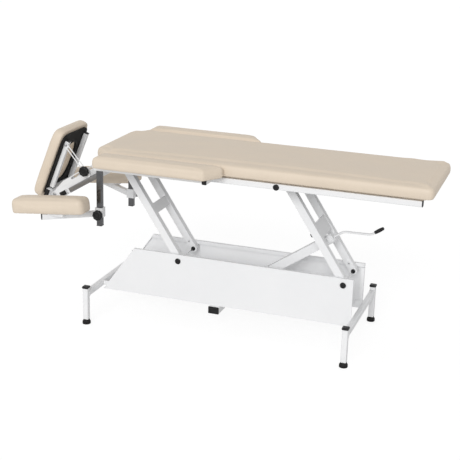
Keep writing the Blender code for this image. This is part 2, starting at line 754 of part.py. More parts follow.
def main_outline(back=0.0):
    w = MAIN_HALF_W
    poly = [(MAIN_HEAD_X, -w + MAIN_CORNER_Y), (MAIN_HEAD_X + MAIN_CORNER_X, -w), (MAIN_FOOT_X, -w),
            (MAIN_FOOT_X, w), (MAIN_HEAD_X + MAIN_CORNER_X, w), (MAIN_HEAD_X, w - MAIN_CORNER_Y)]
    return inset(poly, back) if back else poly


def pad_outline(side):
    y0 = MAIN_HALF_W + PAD_GAP
    y1 = y0 + PAD_W
    poly = [(PAD_HEAD_X, y0), (PAD_FOOT_X, y0), (PAD_FOOT_X - PAD_SLANT, y1), (PAD_HEAD_X, y1)]
    return poly if side > 0 else flip(poly)


def top():
    pivot = vec(UPPER_X_FOOT, 0, UPPER_Z)
    for side, tag in ((-1, "near"), (1, "far")):
        f = Frame((0, side * (RAIL_Y0 + RAIL_Y1) / 2, RAIL_MID), Y, Z, X)
        verts, faces = tube(f, RAIL, RAIL, WALL, RAIL_X0, RAIL_X1)
        rail = make("rail_" + tag, verts, faces, "white_paint", pivot)
        for px in (UPPER_X_HEAD, UPPER_X_FOOT):
            hole = Frame((px, side * RAIL_Y0, UPPER_Z), X, Z, side * Y)
            cut(rail, rod(hole, PIN_R + RUN, -PAST, RAIL + PAST))
        verts, faces = bar(f, RAIL, RAIL, RAIL_X1 + GAP, RAIL_X1 + GAP + CAP_T)
        make("rail_cap_" + tag, verts, faces, "black_plastic", pivot)
        bearer(side, tag, pivot)
        f = Frame((0, 0, CUSHION_Z), X, Y, Z)
        verts, faces = cushion(f, pad_outline(side), CUSHION_T, PAD_CORNER, PAD_CROWN)
        make("side_pad_" + tag, verts, faces, "upholstery", pivot)
        f = Frame((POST_X, side * POST_Y, 0), X, Y, Z)
        verts, faces = tube(f, POST, POST, WALL, POST_Z0, RAIL_Z - GAP)
        make("post_" + tag, verts, faces, "chrome", pivot)

    inner = RAIL_Y0 - GAP
    verts, faces = tube(Frame((RAIL_X1 - FOOT_BAR_IN, 0, RAIL_MID), X, Z, Y), RAIL, RAIL, WALL, -inner, inner)
    make("cross_bar_foot", verts, faces, "white_paint", pivot)
    verts, faces = tube(Frame((POST_X, 0, RAIL_MID), X, Z, Y), RAIL, RAIL, WALL, -inner, inner)
    head = make("cross_bar_head", verts, faces, "white_paint", pivot)
    mid_s = sum(SOCKET_S) / 2
    for side in (-1, 1):
        f = head_frame(side)
        join(head, box(f, SOCKET_S, (-SOCKET / 2, SOCKET / 2), (-SOCKET / 2, SOCKET / 2)))
        web = Frame((f.at(mid_s, 0, 0)[0], side * HEAD_Y, 0), X, Z, Y)
        z0 = f.at(mid_s, 0, 0)[2]
        join(head, box(web, SOCKET_WEB, (z0, RAIL_Z + WALL / 2), (-SOCKET_WEB_T / 2, SOCKET_WEB_T / 2)))
    for side in (-1, 1):
        f = head_frame(side)
        half = HEAD_TUBE / 2 + SOCKET_PLAY
        cut(head, box(f, (SOCKET_S[0] - PAST, SOCKET_S[1] + PAST), (-half, half), (-half, half)))

    f = Frame((0, 0, 0), X, Y, Z)
    outline = rounded(main_outline(BOARD_IN), BOARD_CORNER, 2)
    verts, faces = prism(f, outline, BOARD_Z, CUSHION_Z - GAP)
    make("bed_board", verts, faces, "black_board", pivot)
    f = Frame((0, 0, CUSHION_Z), X, Y, Z)
    verts, faces = cushion(f, main_outline(), CUSHION_T, MAIN_CORNER, MAIN_CROWN)
    make("main_cushion", verts, faces, "upholstery", pivot)
    for tag, px in (("head", UPPER_X_HEAD), ("foot", UPPER_X_FOOT)):
        pin("upper_pin_" + tag, vec(px, 0, UPPER_Z), RAIL_Y1, pivot)


def bearer(side, tag, pivot):
    """Rail along the underside of a side pad, on two stubs from the frame."""
    top_z = CUSHION_Z - GAP
    z = (top_z - BEARER, top_z)
    y1 = MAIN_HALF_W + PAD_GAP + PAD_W - BEARER_IN
    y0 = y1 - BEARER
    x_head = PAD_HEAD_X + STUB_IN
    x_foot = PAD_FOOT_X - PAD_SLANT - STUB_FOOT_IN
    mid = Frame((0, side * (y0 + y1) / 2, sum(z) / 2), Y, Z, X)
    verts, faces = bar(mid, BEARER, BEARER, x_head - BEARER / 2, x_foot)
    rail = make("pad_bearer_" + tag, verts, faces, "white_paint", pivot)
    stub = Frame((x_head, 0, sum(z) / 2), X, Z, side * Y)
    inner = BEARER - 2 * WALL
    low = BEARER - LEG_BAR_SLACK
    join(rail, bar(stub, STUB, low, RAIL_Y1 + GAP, y1 - 2 * WALL))
    cut(rail, bar(stub, STUB - 2 * WALL, low - 2 * WALL, RAIL_Y1 - PAST, (y0 + y1) / 2, WALL))
    stub = Frame((x_foot, 0, sum(z) / 2), X, Z, side * Y)
    y2 = y1 + STUB_OUT
    join(rail, bar(stub, STUB, low, RAIL_Y1 + GAP, y2))
    cut(rail, bar(stub, STUB - 2 * WALL, low - 2 * WALL, RAIL_Y1 - PAST, y2 + PAST, WALL))
    cut(rail, bar(mid, inner, inner, x_head - BEARER, x_foot, WALL))
    verts, faces = bar(stub, STUB, low, y2 + GAP, y2 + GAP + CAP_T)
    make("bearer_cap_" + tag, verts, faces, "black_plastic", pivot)


def forearm_rest(side, tag):
    out = side * Y
    base_z = (SLEEVE_Z0 + SLEEVE_Z1) / 2
    slide = vec(POST_X, side * POST_Y, base_z)
    f = Frame((POST_X, side * POST_Y, 0), X, out, Z)
    verts, faces = bar(f, SLEEVE, SLEEVE, SLEEVE_Z0, SLEEVE_Z1)
    arm = make("rest_arm_" + tag, verts, faces, "white_paint", slide)
    a = math.radians(REST_BAR_DEG)
    along = -math.cos(a) * X + math.sin(a) * out
    across = math.sin(a) * X + math.cos(a) * out
    f = Frame((POST_X, side * POST_Y, REST_BAR_Z), across, Z, along)
    join(arm, bar(f, REST_BAR, REST_BAR, REST_BAR_START, REST_BAR_LEN))
    cap_w = REST_BAR_LEN + GAP
    verts, faces = bar(f, REST_BAR, REST_BAR, cap_w, cap_w + CAP_T)
    make("rest_cap_" + tag, verts, faces, "black_plastic", slide)

    p = math.radians(REST_PITCH)
    tilt = Frame((REST_X, side * REST_Y, REST_Z), math.cos(p) * X + math.sin(p) * Z, Y,
                 -math.sin(p) * X + math.cos(p) * Z)

    def under(x):
        return REST_Z + (x - REST_X) * math.tan(p) - GAP

    x0, x1 = POST_X - REST_SEAT[1], POST_X - REST_SEAT[0]
    z0 = REST_BAR_Z + REST_BAR / 2 - REST_SEAT_SINK
    seat = Frame((0, side * REST_Y, 0), X, Z, Y)
    wedge = [(x0, z0), (x1, z0), (x1, under(x1)), (x0, under(x0))]
    join(arm, prism(seat, wedge, -REST_SEAT_W / 2, REST_SEAT_W / 2))
    f = Frame((POST_X, side * POST_Y, 0), X, out, Z)
    bore = POST + 2 * SLEEVE_PLAY
    cut(arm, bar(f, bore, bore, SLEEVE_Z0 - PAST, SLEEVE_Z1 + PAST))
    f = Frame((POST_X, side * POST_Y, REST_BAR_Z), across, Z, along)
    cut(arm, bar(f, REST_BAR - 2 * WALL, REST_BAR - 2 * WALL, 0.0, REST_BAR_LEN + PAST, WALL))

    half_l, half_w = REST_L / 2, REST_W / 2
    poly = [(-half_l, -half_w), (half_l, -half_w), (half_l, half_w), (-half_l, half_w)]
    verts, faces = cushion(tilt, poly, REST_T, REST_CORNER, REST_CROWN)
    make("rest_cushion_" + tag, verts, faces, "upholstery", slide)
    seat = (POST_X + KNOB_SHIFT, side * (POST_Y + SLEEVE / 2), base_z - KNOB_DROP)
    knob("rest_knob_" + tag, Frame(seat, X, Z, out), GAP, KNOB_STEM_R)


def knob(name, f, start, stem_r, lead=()):
    """Round clamp knob on a stem, along w."""
    w0 = start + KNOB_STEM
    w1 = w0 + KNOB_T
    profile = list(lead) or [(0, start), (stem_r, start)]
    profile += [(stem_r, w0), (KNOB_R * 0.82, w0), (KNOB_R, w0 + KNOB_BACK_EDGE),
                (KNOB_R, w1 - KNOB_FRONT_EDGE), (KNOB_R * 0.88, w1 - KNOB_CROWN), (KNOB_R * 0.55, w1),
                (0, w1 - KNOB_DISH)]
    verts, faces = turned(f, profile, 24)
    make(name, verts, faces, "black_plastic", f.o)


def head_frame(side):
    """Along the head tube, away from the table, and square to it."""
    a = math.radians(HEAD_DEG)
    return Frame((HEAD_X, side * HEAD_Y, HEAD_Z), vec(-math.cos(a), 0, -math.sin(a)),
                 vec(-math.sin(a), 0, math.cos(a)), Y)


def panel_frame(hinge):
    """Up the panel's back, across, and out of its face."""
    a = math.radians(PANEL_DEG)
    up = vec(math.cos(a), 0, math.sin(a))
    out = vec(-math.sin(a), 0, math.cos(a))
    return Frame(hinge + vec(PANEL_X, 0, PANEL_Z), up, Y, out)


def face_panel():
    root = head_frame(-1).o
    for side, tag in ((-1, "near"), (1, "far")):
        h = head_frame(side)
        f = Frame(h.o, h.v, h.w, h.u)
        verts, faces = tube(f, HEAD_TUBE, HEAD_TUBE, WALL, HEAD_TUBE_S[0], HEAD_TUBE_S[1])
        make("head_tube_" + tag, verts, faces, "chrome", root)

    h = Frame((HEAD_X, 0, HEAD_Z), head_frame(1).u, head_frame(1).v, Y)
    verts, faces = box(h, YOKE_BAR_S, YOKE_BAR_N, (-YOKE_BAR_Y, YOKE_BAR_Y))
    yoke = make("head_yoke", verts, faces, "white_paint", root)
    low = HEAD_TUBE / 2 + GAP
    end = HEAD_TUBE_S[1] + GAP
    outline = [(YOKE_HEAD_S, low), (end, low), (end, -HEAD_TUBE / 2), (YOKE_NECK_S, -HEAD_TUBE / 2)]
    outline += arc(EYE_S, EYE_N, EYE_R, -70, 75, 8)
    outline += [(YOKE_TOP_S[1], YOKE_TOP_N[1]), (YOKE_TOP_S[0], YOKE_TOP_N[0]), (YOKE_HEAD_S, YOKE_HEAD_N)]
    slot = arc(YOKE_SLOT_S[1], CLAMP_N, YOKE_SLOT_R, -90, 90, 6)
    slot += arc(YOKE_SLOT_S[0], CLAMP_N, YOKE_SLOT_R, 90, 270, 6)
    for side in (-1, 1):
        c = side * HEAD_Y
        join(yoke, prism(h, outline, c - YOKE_T / 2, c + YOKE_T / 2))
    s_in = (YOKE_BAR_S[0] + WALL, YOKE_BAR_S[1] - WALL)
    n_in = (YOKE_BAR_N[0] + WALL, YOKE_BAR_N[1] - WALL)
    cut(yoke, box(h, s_in, n_in, (-YOKE_BAR_Y - PAST, YOKE_BAR_Y + PAST)))
    for side in (-1, 1):
        c = side * HEAD_Y
        cut(yoke, prism(h, slot, c - PAST, c + PAST))
        eye = Frame(h.at(EYE_S, EYE_N, c), h.u, h.v, Y)
        join(yoke, rod(eye, HINGE_R, -HINGE_HALF, HINGE_HALF, 16))

    hinge = h.at(EYE_S, EYE_N, 0)
    p = panel_frame(hinge)
    rel = hinge - p.o
    eye_t, eye_n = rel @ p.u, rel @ p.w
    a, b = PANEL_L / 2, PANEL_W / 2
    ha, hb = HOLE_L / 2, HOLE_W / 2
    t = PANEL_T
    rows = [(a - d, b - d, PANEL_POWER, share * t) for d, share in PANEL_SECTION]
    rows += [(ha + d, hb + d, HOLE_POWER, share * t) for d, share in HOLE_SECTION]
    verts, faces = ring_solid(p, PANEL_MID, rows)
    make("panel_cushion", verts, faces, "upholstery", hinge)
    back = -BOARD_T
    rows = [(a - PANEL_BOARD_IN, b - PANEL_BOARD_IN, PANEL_POWER, w) for w in (back, -GAP)]
    rows += [(ha + HOLE_BOARD_OUT, hb + HOLE_BOARD_OUT, HOLE_POWER, w) for w in (-GAP, back)]
    verts, faces = ring_solid(p, PANEL_MID, rows)
    make("panel_board", verts, faces, "black_board", hinge)

    mid_n = back - GAP - PANEL_RAIL / 2
    for side, tag in ((-1, "near"), (1, "far")):
        f = Frame(p.at(0, side * HEAD_Y, mid_n), p.v, p.w, p.u)
        verts, faces = tube(f, PANEL_RAIL, PANEL_RAIL, WALL, PANEL_RAIL_T[0], PANEL_RAIL_T[1])
        rail = make("panel_rail_" + tag, verts, faces, "white_paint", hinge)
        if side < 0:
            hole = Frame(p.at(STAY_AT, -HEAD_Y, mid_n), p.u, p.w, -Y)
            cut(rail, rod(hole, HINGE_R + RUN, STAY_PIN_IN, PANEL_RAIL, 16))

    f = Frame(p.at(0, 0, 0), p.u, p.w, p.v)
    depth = (mid_n - PANEL_RAIL / 2, mid_n + PANEL_RAIL / 2)
    verts, faces = box(f, PANEL_BAR_T, depth, (-PANEL_BAR_Y, PANEL_BAR_Y))
    cross = make("panel_cross_bar", verts, faces, "white_paint", hinge)
    ear = [(eye_t - HINGE_EAR_FOOT, mid_n)] + arc(eye_t, eye_n, HINGE_EAR_R, 180, 360, 10)
    ear += [(eye_t + HINGE_EAR_FOOT, mid_n)]
    for side in (-1, 1):
        for off in (-1, 1):
            c = side * HEAD_Y + off * (YOKE_T / 2 + HINGE_EAR_PLAY + HINGE_EAR_T / 2)
            join(cross, prism(f, ear, c - HINGE_EAR_T / 2, c + HINGE_EAR_T / 2))
    t_in = (PANEL_BAR_T[0] + WALL, PANEL_BAR_T[1] - WALL)
    half = PANEL_RAIL / 2 - WALL
    wide = PANEL_BAR_Y + PAST
    cut(cross, box(f, t_in, (mid_n - half, mid_n + half), (-wide, wide)))
    eye = Frame(hinge, p.u, p.w, p.v)
    cut(cross, rod(eye, HINGE_R + RUN, -wide, wide, 16))

    pivot = p.at(STAY_AT, -HEAD_Y, mid_n)
    clamp = h.at(CLAMP_S, CLAMP_N, -HEAD_Y)
    along = clamp - pivot
    along /= np.linalg.norm(along)
    face = STAY_FACE
    rail_face = PANEL_RAIL / 2 + GAP
    f = Frame(pivot, along, np.cross(Y, along), -Y)
    r = STAY_W / 2
    outline = arc(0, 0, r, 90, 270, 8) + arc(STAY_END - r, 0, r, -90, 90, 8)
    verts, faces = prism(f, outline, face, face + STAY_T)
    stay = make("panel_stay", verts, faces, "white_paint", pivot)
    w = STAY_SLOT_W / 2
    slot = arc(STAY_SLOT[1] - w, 0, w, -90, 90, 6) + arc(STAY_SLOT[0] + w, 0, w, 90, 270, 6)
    cut(stay, prism(f, slot, face - PAST, face + PAST))
    join(stay, rod(f, STAY_BOSS_R, rail_face, face + STAY_T / 2, 20))
    join(stay, rod(f, HINGE_R, rail_face - STAY_PIN_IN, face + STAY_T + STAY_PIN_OUT, 16))

    out = face + STAY_T + GAP
    f = Frame(clamp, h.u, h.v, -Y)
    tail = -YOKE_T / 2 - BOLT_OVER
    lead = [(0, tail), (BOLT_R, tail), (BOLT_R, YOKE_T / 2 + GAP), (SPACER_R, YOKE_T / 2 + GAP),
            (SPACER_R, face - GAP), (BOLT_R, face - GAP)]
    knob("panel_knob", f, out - KNOB_STEM, BOLT_R, lead)


build()
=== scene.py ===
"""Looks of the massage table: vinyl upholstery, painted steel, chromed tube, plastic and rubber."""
import json
import math

import bmesh
import bpy
from mathutils import Matrix, Vector

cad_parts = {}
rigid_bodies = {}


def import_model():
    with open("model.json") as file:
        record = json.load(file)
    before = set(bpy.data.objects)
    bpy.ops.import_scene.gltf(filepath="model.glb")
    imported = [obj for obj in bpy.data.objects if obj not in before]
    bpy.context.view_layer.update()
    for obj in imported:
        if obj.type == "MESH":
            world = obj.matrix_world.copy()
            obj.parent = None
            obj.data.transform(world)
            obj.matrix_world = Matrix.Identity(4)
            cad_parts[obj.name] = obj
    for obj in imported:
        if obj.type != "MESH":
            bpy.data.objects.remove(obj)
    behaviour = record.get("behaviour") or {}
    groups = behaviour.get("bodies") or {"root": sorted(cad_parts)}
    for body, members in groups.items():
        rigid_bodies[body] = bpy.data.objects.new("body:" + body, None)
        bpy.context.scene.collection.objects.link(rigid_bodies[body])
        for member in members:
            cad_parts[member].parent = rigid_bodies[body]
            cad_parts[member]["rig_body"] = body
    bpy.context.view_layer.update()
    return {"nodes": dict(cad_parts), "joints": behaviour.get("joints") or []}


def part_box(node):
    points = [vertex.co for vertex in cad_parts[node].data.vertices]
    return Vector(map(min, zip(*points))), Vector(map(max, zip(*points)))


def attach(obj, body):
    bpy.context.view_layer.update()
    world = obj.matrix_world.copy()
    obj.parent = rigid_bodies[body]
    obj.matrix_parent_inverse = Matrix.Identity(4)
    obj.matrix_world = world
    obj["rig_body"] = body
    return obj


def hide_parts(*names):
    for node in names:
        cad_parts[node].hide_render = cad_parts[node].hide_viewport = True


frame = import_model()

NODES = frame["nodes"]
JOINTS = {joint["name"]: joint for joint in frame["joints"]}
X, Y, Z = Vector((1, 0, 0)), Vector((0, 1, 0)), Vector((0, 0, 1))
SIDES = ((-1, "near"), (1, "far"))

# Sizes of the finish, in metres
MERGE = 0.00002           # doubles closer than this are one vertex
FLAT = math.radians(0.5)  # faces that turn by less are one
STEEL_EDGE = 0.0007       # rounding of painted and chromed edges
PLASTIC_EDGE = 0.0011     # rounding of plastic caps
BOARD_EDGE = 0.0012       # rounding of plywood boards

# Sizes of the frame that the details sit on
HEAD_SLOPE = math.radians(31.7)    # head tubes
PANEL_SLOPE = math.radians(68.5)   # face panel
LEG = 0.030
LEG_BAR_Z = (0.158, 0.188)
RAIL = 0.030

HEAD_DOWN = Vector((-math.cos(HEAD_SLOPE), 0, -math.sin(HEAD_SLOPE)))
HEAD_UP = Vector((-math.sin(HEAD_SLOPE), 0, math.cos(HEAD_SLOPE)))
PANEL_UP = Vector((math.cos(PANEL_SLOPE), 0, math.sin(PANEL_SLOPE)))
PANEL_OUT = Vector((-math.sin(PANEL_SLOPE), 0, math.cos(PANEL_SLOPE)))
JACK_AXIS = Vector(JOINTS["crank_turn"]["axis"]).normalized()
JACK_FOOT = Vector(JOINTS["jack_foot"]["pos_m"])


# Shader nodes
def wire(tree, kind, feeds=None, **settings):
    """New shader node; a feed is a value for its socket or the socket that drives it."""
    made = tree.nodes.new(kind)
    for key, value in settings.items():
        setattr(made, key, value)
    for socket, value in (feeds or {}).items():
        if isinstance(value, bpy.types.NodeSocket):
            tree.links.new(value, made.inputs[socket])
        else:
            made.inputs[socket].default_value = value
    return made


def effect_group(name, inputs, output):
    """Empty node group with float inputs and one float output."""
    tree = bpy.data.node_groups.new(name, "ShaderNodeTree")
    tree.interface.new_socket("Place", in_out="INPUT", socket_type="NodeSocketVector")
    for label, value in inputs:
        socket = tree.interface.new_socket(label, in_out="INPUT", socket_type="NodeSocketFloat")
        socket.default_value = value
    tree.interface.new_socket(output, in_out="OUTPUT", socket_type="NodeSocketFloat")
    return tree, wire(tree, "NodeGroupInput").outputs, wire(tree, "NodeGroupOutput").inputs


def noise(tree, spot, scale, detail, roughness=0.5):
    feeds = {"Vector": spot, "Scale": scale, "Detail": detail, "Roughness": roughness}
    return wire(tree, "ShaderNodeTexNoise", feeds).outputs


def maths(tree, operation, a, b):
    return wire(tree, "ShaderNodeMath", {0: a, 1: b}, operation=operation).outputs[0]


def make_clouds():
    """Slow change of tone over a surface, from 0 to 1."""
    tree, given, out = effect_group("clouds", (("Scale", 6.0), ("Low", 0.35), ("High", 0.65)), "Mask")
    fog = noise(tree, given["Place"], given["Scale"], detail=4.0, roughness=0.55)
    feeds = {"Value": fog["Fac"], "From Min": given["Low"], "From Max": given["High"]}
    spread = wire(tree, "ShaderNodeMapRange", feeds, interpolation_type="SMOOTHSTEP")
    tree.links.new(spread.outputs["Result"], out["Mask"])
    return tree


PORE_BEND = 0.003         # how far the cells of a pebbled skin are bent
PORE_BEND_SCALE = 180.0
PORE_GRIT_SCALE = 2400.0


def make_pores():
    """Pebbled skin of coated cloth or textured plastic."""
    tree, given, out = effect_group("pores", (("Scale", 700.0), ("Fine", 0.35)), "Height")
    spot = given["Place"]
    bend = noise(tree, spot, PORE_BEND_SCALE, detail=2.0)
    shift = wire(tree, "ShaderNodeVectorMath", {0: bend["Color"], 1: (PORE_BEND,) * 3}, operation="MULTIPLY")
    moved = wire(tree, "ShaderNodeVectorMath", {0: spot, 1: shift.outputs["Vector"]}, operation="ADD")
    feeds = {"Vector": moved.outputs["Vector"], "Scale": given["Scale"]}
    cells = wire(tree, "ShaderNodeTexVoronoi", feeds, feature="SMOOTH_F1")
    grit = noise(tree, spot, PORE_GRIT_SCALE, detail=2.0)
    fine = maths(tree, "MULTIPLY", grit["Fac"], given["Fine"])
    tree.links.new(maths(tree, "SUBTRACT", fine, cells.outputs["Distance"]), out["Height"])
    return tree


def make_orange_peel():
    """Slow dimples of sprayed and baked paint."""
    tree, given, out = effect_group("orange_peel", (("Scale", 380.0),), "Height")
    dimples = noise(tree, given["Place"], given["Scale"], detail=1.5, roughness=0.4)
    tree.links.new(dimples["Fac"], out["Height"])
    return tree


def make_streaks():
    """Fine lines drawn along one axis; Place arrives already stretched."""
    tree, given, out = effect_group("streaks", (("Scale", 900.0),), "Mask")
    lines = noise(tree, given["Place"], given["Scale"], detail=5.0, roughness=0.65)
    tree.links.new(lines["Fac"], out["Mask"])
    return tree


SPECK_SCALE = 260.0


def make_floor_dust():
    """Dust and scuffs on what stands near the floor, fading with height."""
    tree, given, out = effect_group("floor_dust", (("Reach", 0.05), ("Amount", 0.5)), "Mask")
    height = wire(tree, "ShaderNodeSeparateXYZ", {0: given["Place"]}).outputs["Z"]
    feeds = {"Value": height, "From Min": 0.0, "From Max": given["Reach"], "To Min": 1.0, "To Max": 0.0}
    fade = wire(tree, "ShaderNodeMapRange", feeds).outputs["Result"]
    specks = noise(tree, given["Place"], SPECK_SCALE, detail=6.0)
    patch = maths(tree, "MULTIPLY", fade, specks["Fac"])
    tree.links.new(maths(tree, "MULTIPLY", patch, given["Amount"]), out["Mask"])
    return tree


CLOUDS = make_clouds()
PORES = make_pores()
ORANGE_PEEL = make_orange_peel()
STREAKS = make_streaks()
FLOOR_DUST = make_floor_dust()


class Finish:
    """Principled material with Object coordinates and the shared effects."""

    def __init__(self, name, metallic=0.0, specular=0.5):
        self.material = bpy.data.materials.new(name)
        self.material.use_nodes = True
        self.tree = self.material.node_tree
        self.shader = self.tree.nodes["Principled BSDF"]
        self.shader.inputs["Metallic"].default_value = metallic
        self.shader.inputs["Specular IOR Level"].default_value = specular
        self.place = wire(self.tree, "ShaderNodeTexCoord").outputs["Object"]

    def effect(self, group, place=None, **values):
        made = wire(self.tree, "ShaderNodeGroup", node_tree=group)
        self.tree.links.new(place or self.place, made.inputs["Place"])
        for label, value in values.items():
            made.inputs[label].default_value = value
        return made.outputs[0]

    def tone(self, scale):
        """Slow change of tone, as a mask."""
        return self.effect(CLOUDS, Scale=scale, Low=0.3, High=0.7)

    def stretched(self, scale):
        made = wire(self.tree, "ShaderNodeMapping", {"Vector": self.place, "Scale": scale})
        return made.outputs["Vector"]

    def mix(self, mask, a, b):
        """Colour a where the mask is 0 and b where it is 1; either may be a socket."""
        made = wire(self.tree, "ShaderNodeMix", data_type="RGBA")
        self.tree.links.new(mask, made.inputs["Factor"])
        for label, value in (("A", a), ("B", b)):
            socket = [s for s in made.inputs if s.name == label and s.type == "RGBA"][0]
            if isinstance(value, bpy.types.NodeSocket):
                self.tree.links.new(value, socket)
            else:
                socket.default_value = (*value, 1.0)
        return [s for s in made.outputs if s.type == "RGBA"][0]

    def colour(self, socket):
        self.tree.links.new(socket, self.shader.inputs["Base Color"])

    def roughness(self, mask, low, high):
        spread = wire(self.tree, "ShaderNodeMapRange", {"Value": mask, "To Min": low, "To Max": high})
        self.tree.links.new(spread.outputs["Result"], self.shader.inputs["Roughness"])

    def bump(self, height, strength, distance):
        made = wire(self.tree, "ShaderNodeBump", {"Height": height, "Strength": strength,
                                                  "Distance": distance})
        self.tree.links.new(made.outputs["Normal"], self.shader.inputs["Normal"])


# Finishes
def cream_vinyl():
    f = Finish("cream_vinyl", specular=0.4)
    tone = f.tone(5.0)
    skin = f.effect(PORES, Scale=620.0, Fine=0.3)
    base = f.mix(tone, (0.725, 0.622, 0.503), (0.760, 0.652, 0.528))
    valley = wire(f.tree, "ShaderNodeMapRange", {"Value": skin, "From Min": -0.75, "From Max": -0.3,
                                                 "To Min": 0.35, "To Max": 0.0})
    f.colour(f.mix(valley.outputs["Result"], base, (0.56, 0.47, 0.37)))
    f.roughness(tone, 0.46, 0.54)
    f.bump(skin, strength=0.35, distance=0.00025)
    return f.material


def white_powder_coat():
    f = Finish("white_powder_coat")
    tone = f.tone(3.0)
    dust = f.effect(FLOOR_DUST, Reach=0.09, Amount=0.3)
    base = f.mix(tone, (0.850, 0.854, 0.864), (0.870, 0.873, 0.880))
    f.colour(f.mix(dust, base, (0.55, 0.54, 0.52)))
    f.roughness(tone, 0.32, 0.40)
    f.bump(f.effect(ORANGE_PEEL, Scale=380.0), strength=0.25, distance=0.00012)
    return f.material


def black_moulding():
    f = Finish("black_moulding", specular=0.3)
    tone = f.tone(40.0)
    dust = f.effect(FLOOR_DUST, Reach=0.035, Amount=0.35)
    base = f.mix(tone, (0.007, 0.007, 0.008), (0.012, 0.012, 0.013))
    f.colour(f.mix(dust, base, (0.20, 0.19, 0.18)))
    f.roughness(tone, 0.38, 0.52)
    f.bump(f.effect(PORES, Scale=1300.0, Fine=0.6), strength=0.25, distance=0.00012)
    return f.material


def black_rubber():
    f = Finish("black_rubber", specular=0.25)
    tone = f.tone(60.0)
    f.colour(f.mix(tone, (0.010, 0.010, 0.010), (0.018, 0.017, 0.017)))
    f.roughness(tone, 0.68, 0.82)
    f.bump(f.effect(PORES, Scale=1800.0, Fine=0.8), strength=0.3, distance=0.00010)
    return f.material


def black_plywood():
    f = Finish("black_plywood", specular=0.2)
    grain = f.effect(STREAKS, f.stretched((0.06, 1.0, 1.0)), Scale=420.0)
    f.colour(f.mix(grain, (0.007, 0.007, 0.007), (0.016, 0.015, 0.014)))
    f.roughness(grain, 0.62, 0.80)
    f.bump(grain, strength=0.3, distance=0.0003)
    return f.material


def plated_tube(name, along, dark, pale, smooth, rough):
    """Drawn and plated tube; along stretches its drawing lines."""
    f = Finish(name, metallic=1.0)
    drawn = f.effect(STREAKS, f.stretched(along), Scale=700.0)
    f.colour(f.mix(f.tone(25.0), dark, pale))
    f.roughness(drawn, smooth, rough)
    return f.material


def bright_steel():
    f = Finish("bright_steel", metallic=1.0)
    drawn = f.effect(STREAKS, f.stretched((1.0, 0.05, 1.0)), Scale=900.0)
    f.colour(f.mix(drawn, (0.40, 0.40, 0.41), (0.56, 0.56, 0.57)))
    f.roughness(drawn, 0.22, 0.42)
    return f.material


VINYL = cream_vinyl()
PAINT = white_powder_coat()
PLASTIC = black_moulding()
RUBBER = black_rubber()
PLYWOOD = black_plywood()
# Chrome of the posts: its base colour is made dark to paint the shade under the table and the dark
# surroundings it reflects.
SHADED_CHROME = plated_tube("chrome_painted_shade", (1.0, 1.0, 0.05), (0.130, 0.130, 0.134), (0.180, 0.180, 0.186),
                     0.14, 0.30)
# Chrome of the head tubes: its paler base colour paints a brighter reflection than the posts get; its higher
# roughness is the satin finish.
LIT_SATIN_CHROME = plated_tube("satin_chrome_painted_light", (0.05, 1.0, 1.0), (0.300, 0.300, 0.305), (0.360, 0.360, 0.366),
                           0.26, 0.42)
STEEL = bright_steel()


# Modelling helpers
def body_of(node):
    return NODES[node]["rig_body"]


def from_node(node):
    """Merged copy of a node's mesh with each flat area as one face."""
    bm = bmesh.new()
    bm.from_mesh(NODES[node].data)
    bmesh.ops.remove_doubles(bm, verts=bm.verts, dist=MERGE)
    bmesh.ops.dissolve_limit(bm, angle_limit=FLAT, verts=bm.verts, edges=bm.edges)
    return bm


def ease(bm, width, over=50):
    """Round the edges that turn by more than the given angle."""
    limit = math.radians(over)
    sharp = [e for e in bm.edges if len(e.link_faces) == 2 and e.calc_face_angle() > limit]
    bmesh.ops.bevel(bm, geom=sharp, offset=width, offset_type="OFFSET", affect="EDGES", segments=2,
                    profile=0.5, material=-1, clamp_overlap=True)


def settle(bm):
    """Join what meets and turn all faces outwards."""
    bmesh.ops.remove_doubles(bm, verts=bm.verts, dist=MERGE)
    bmesh.ops.recalc_face_normals(bm, faces=bm.faces)


def place(name, bm, finish, body, slot, stands_for=(), smooth=35):
    """Turn a bmesh into a piece that rides on a body."""
    mesh = bpy.data.meshes.new(name)
    bm.to_mesh(mesh)
    bm.free()
    mesh.shade_smooth()
    mesh.set_sharp_from_angle(angle=math.radians(smooth))
    return place_mesh(name, mesh, finish, body, stands_for)


def place_mesh(name, mesh, finish, body, stands_for=()):
    mesh.materials.clear()
    mesh.materials.append(finish)
    piece = bpy.data.objects.new(name, mesh)
    bpy.context.scene.collection.objects.link(piece)
    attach(piece, body)
    if stands_for:
        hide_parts(*stands_for)
    return piece


def eased(node, finish, slot, width, tag):
    """A node's own shape with rounded edges."""
    bm = from_node(node)
    ease(bm, width)
    piece = place(f"{node}_{tag}", bm, finish, body_of(node), slot, (node,))
    even = piece.modifiers.new("even_shading", "WEIGHTED_NORMAL")
    even.keep_sharp = True


def add_turned(bm, profile, origin, axis, steps):
    """Spin (radius, height) pairs about an axis."""
    axis = Vector(axis).normalized()
    origin = Vector(origin)
    side = axis.orthogonal().normalized()
    rim = [bm.verts.new(origin + side * r + axis * h) for r, h in profile]
    edges = [bm.edges.new(pair) for pair in zip(rim, rim[1:])]
    bmesh.ops.spin(bm, geom=rim + edges, cent=origin, axis=axis, dvec=(0, 0, 0), angle=2 * math.pi,
                   steps=steps, use_merge=True)


def add_block(bm, centre, axes, size, edge):
    """Block along three axes with all its edges rounded."""
    turn = Matrix([list(a) for a in axes]).transposed().to_4x4()
    where = Matrix.Translation(centre) @ turn @ Matrix.Diagonal((*size, 1.0))
    made = bmesh.ops.create_cube(bm, size=1.0, matrix=where)
    edges = list({e for v in made["verts"] for e in v.link_edges})
    bmesh.ops.bevel(bm, geom=edges, offset=edge, offset_type="OFFSET", affect="EDGES", segments=3,
                    profile=0.5, material=-1)


WASHER_R = 1.25           # washer's radius over the hexagon's
WASHER_T = 0.12           # its thickness over the width across flats
BOLT_CHAMFER = 0.08       # over the width across flats


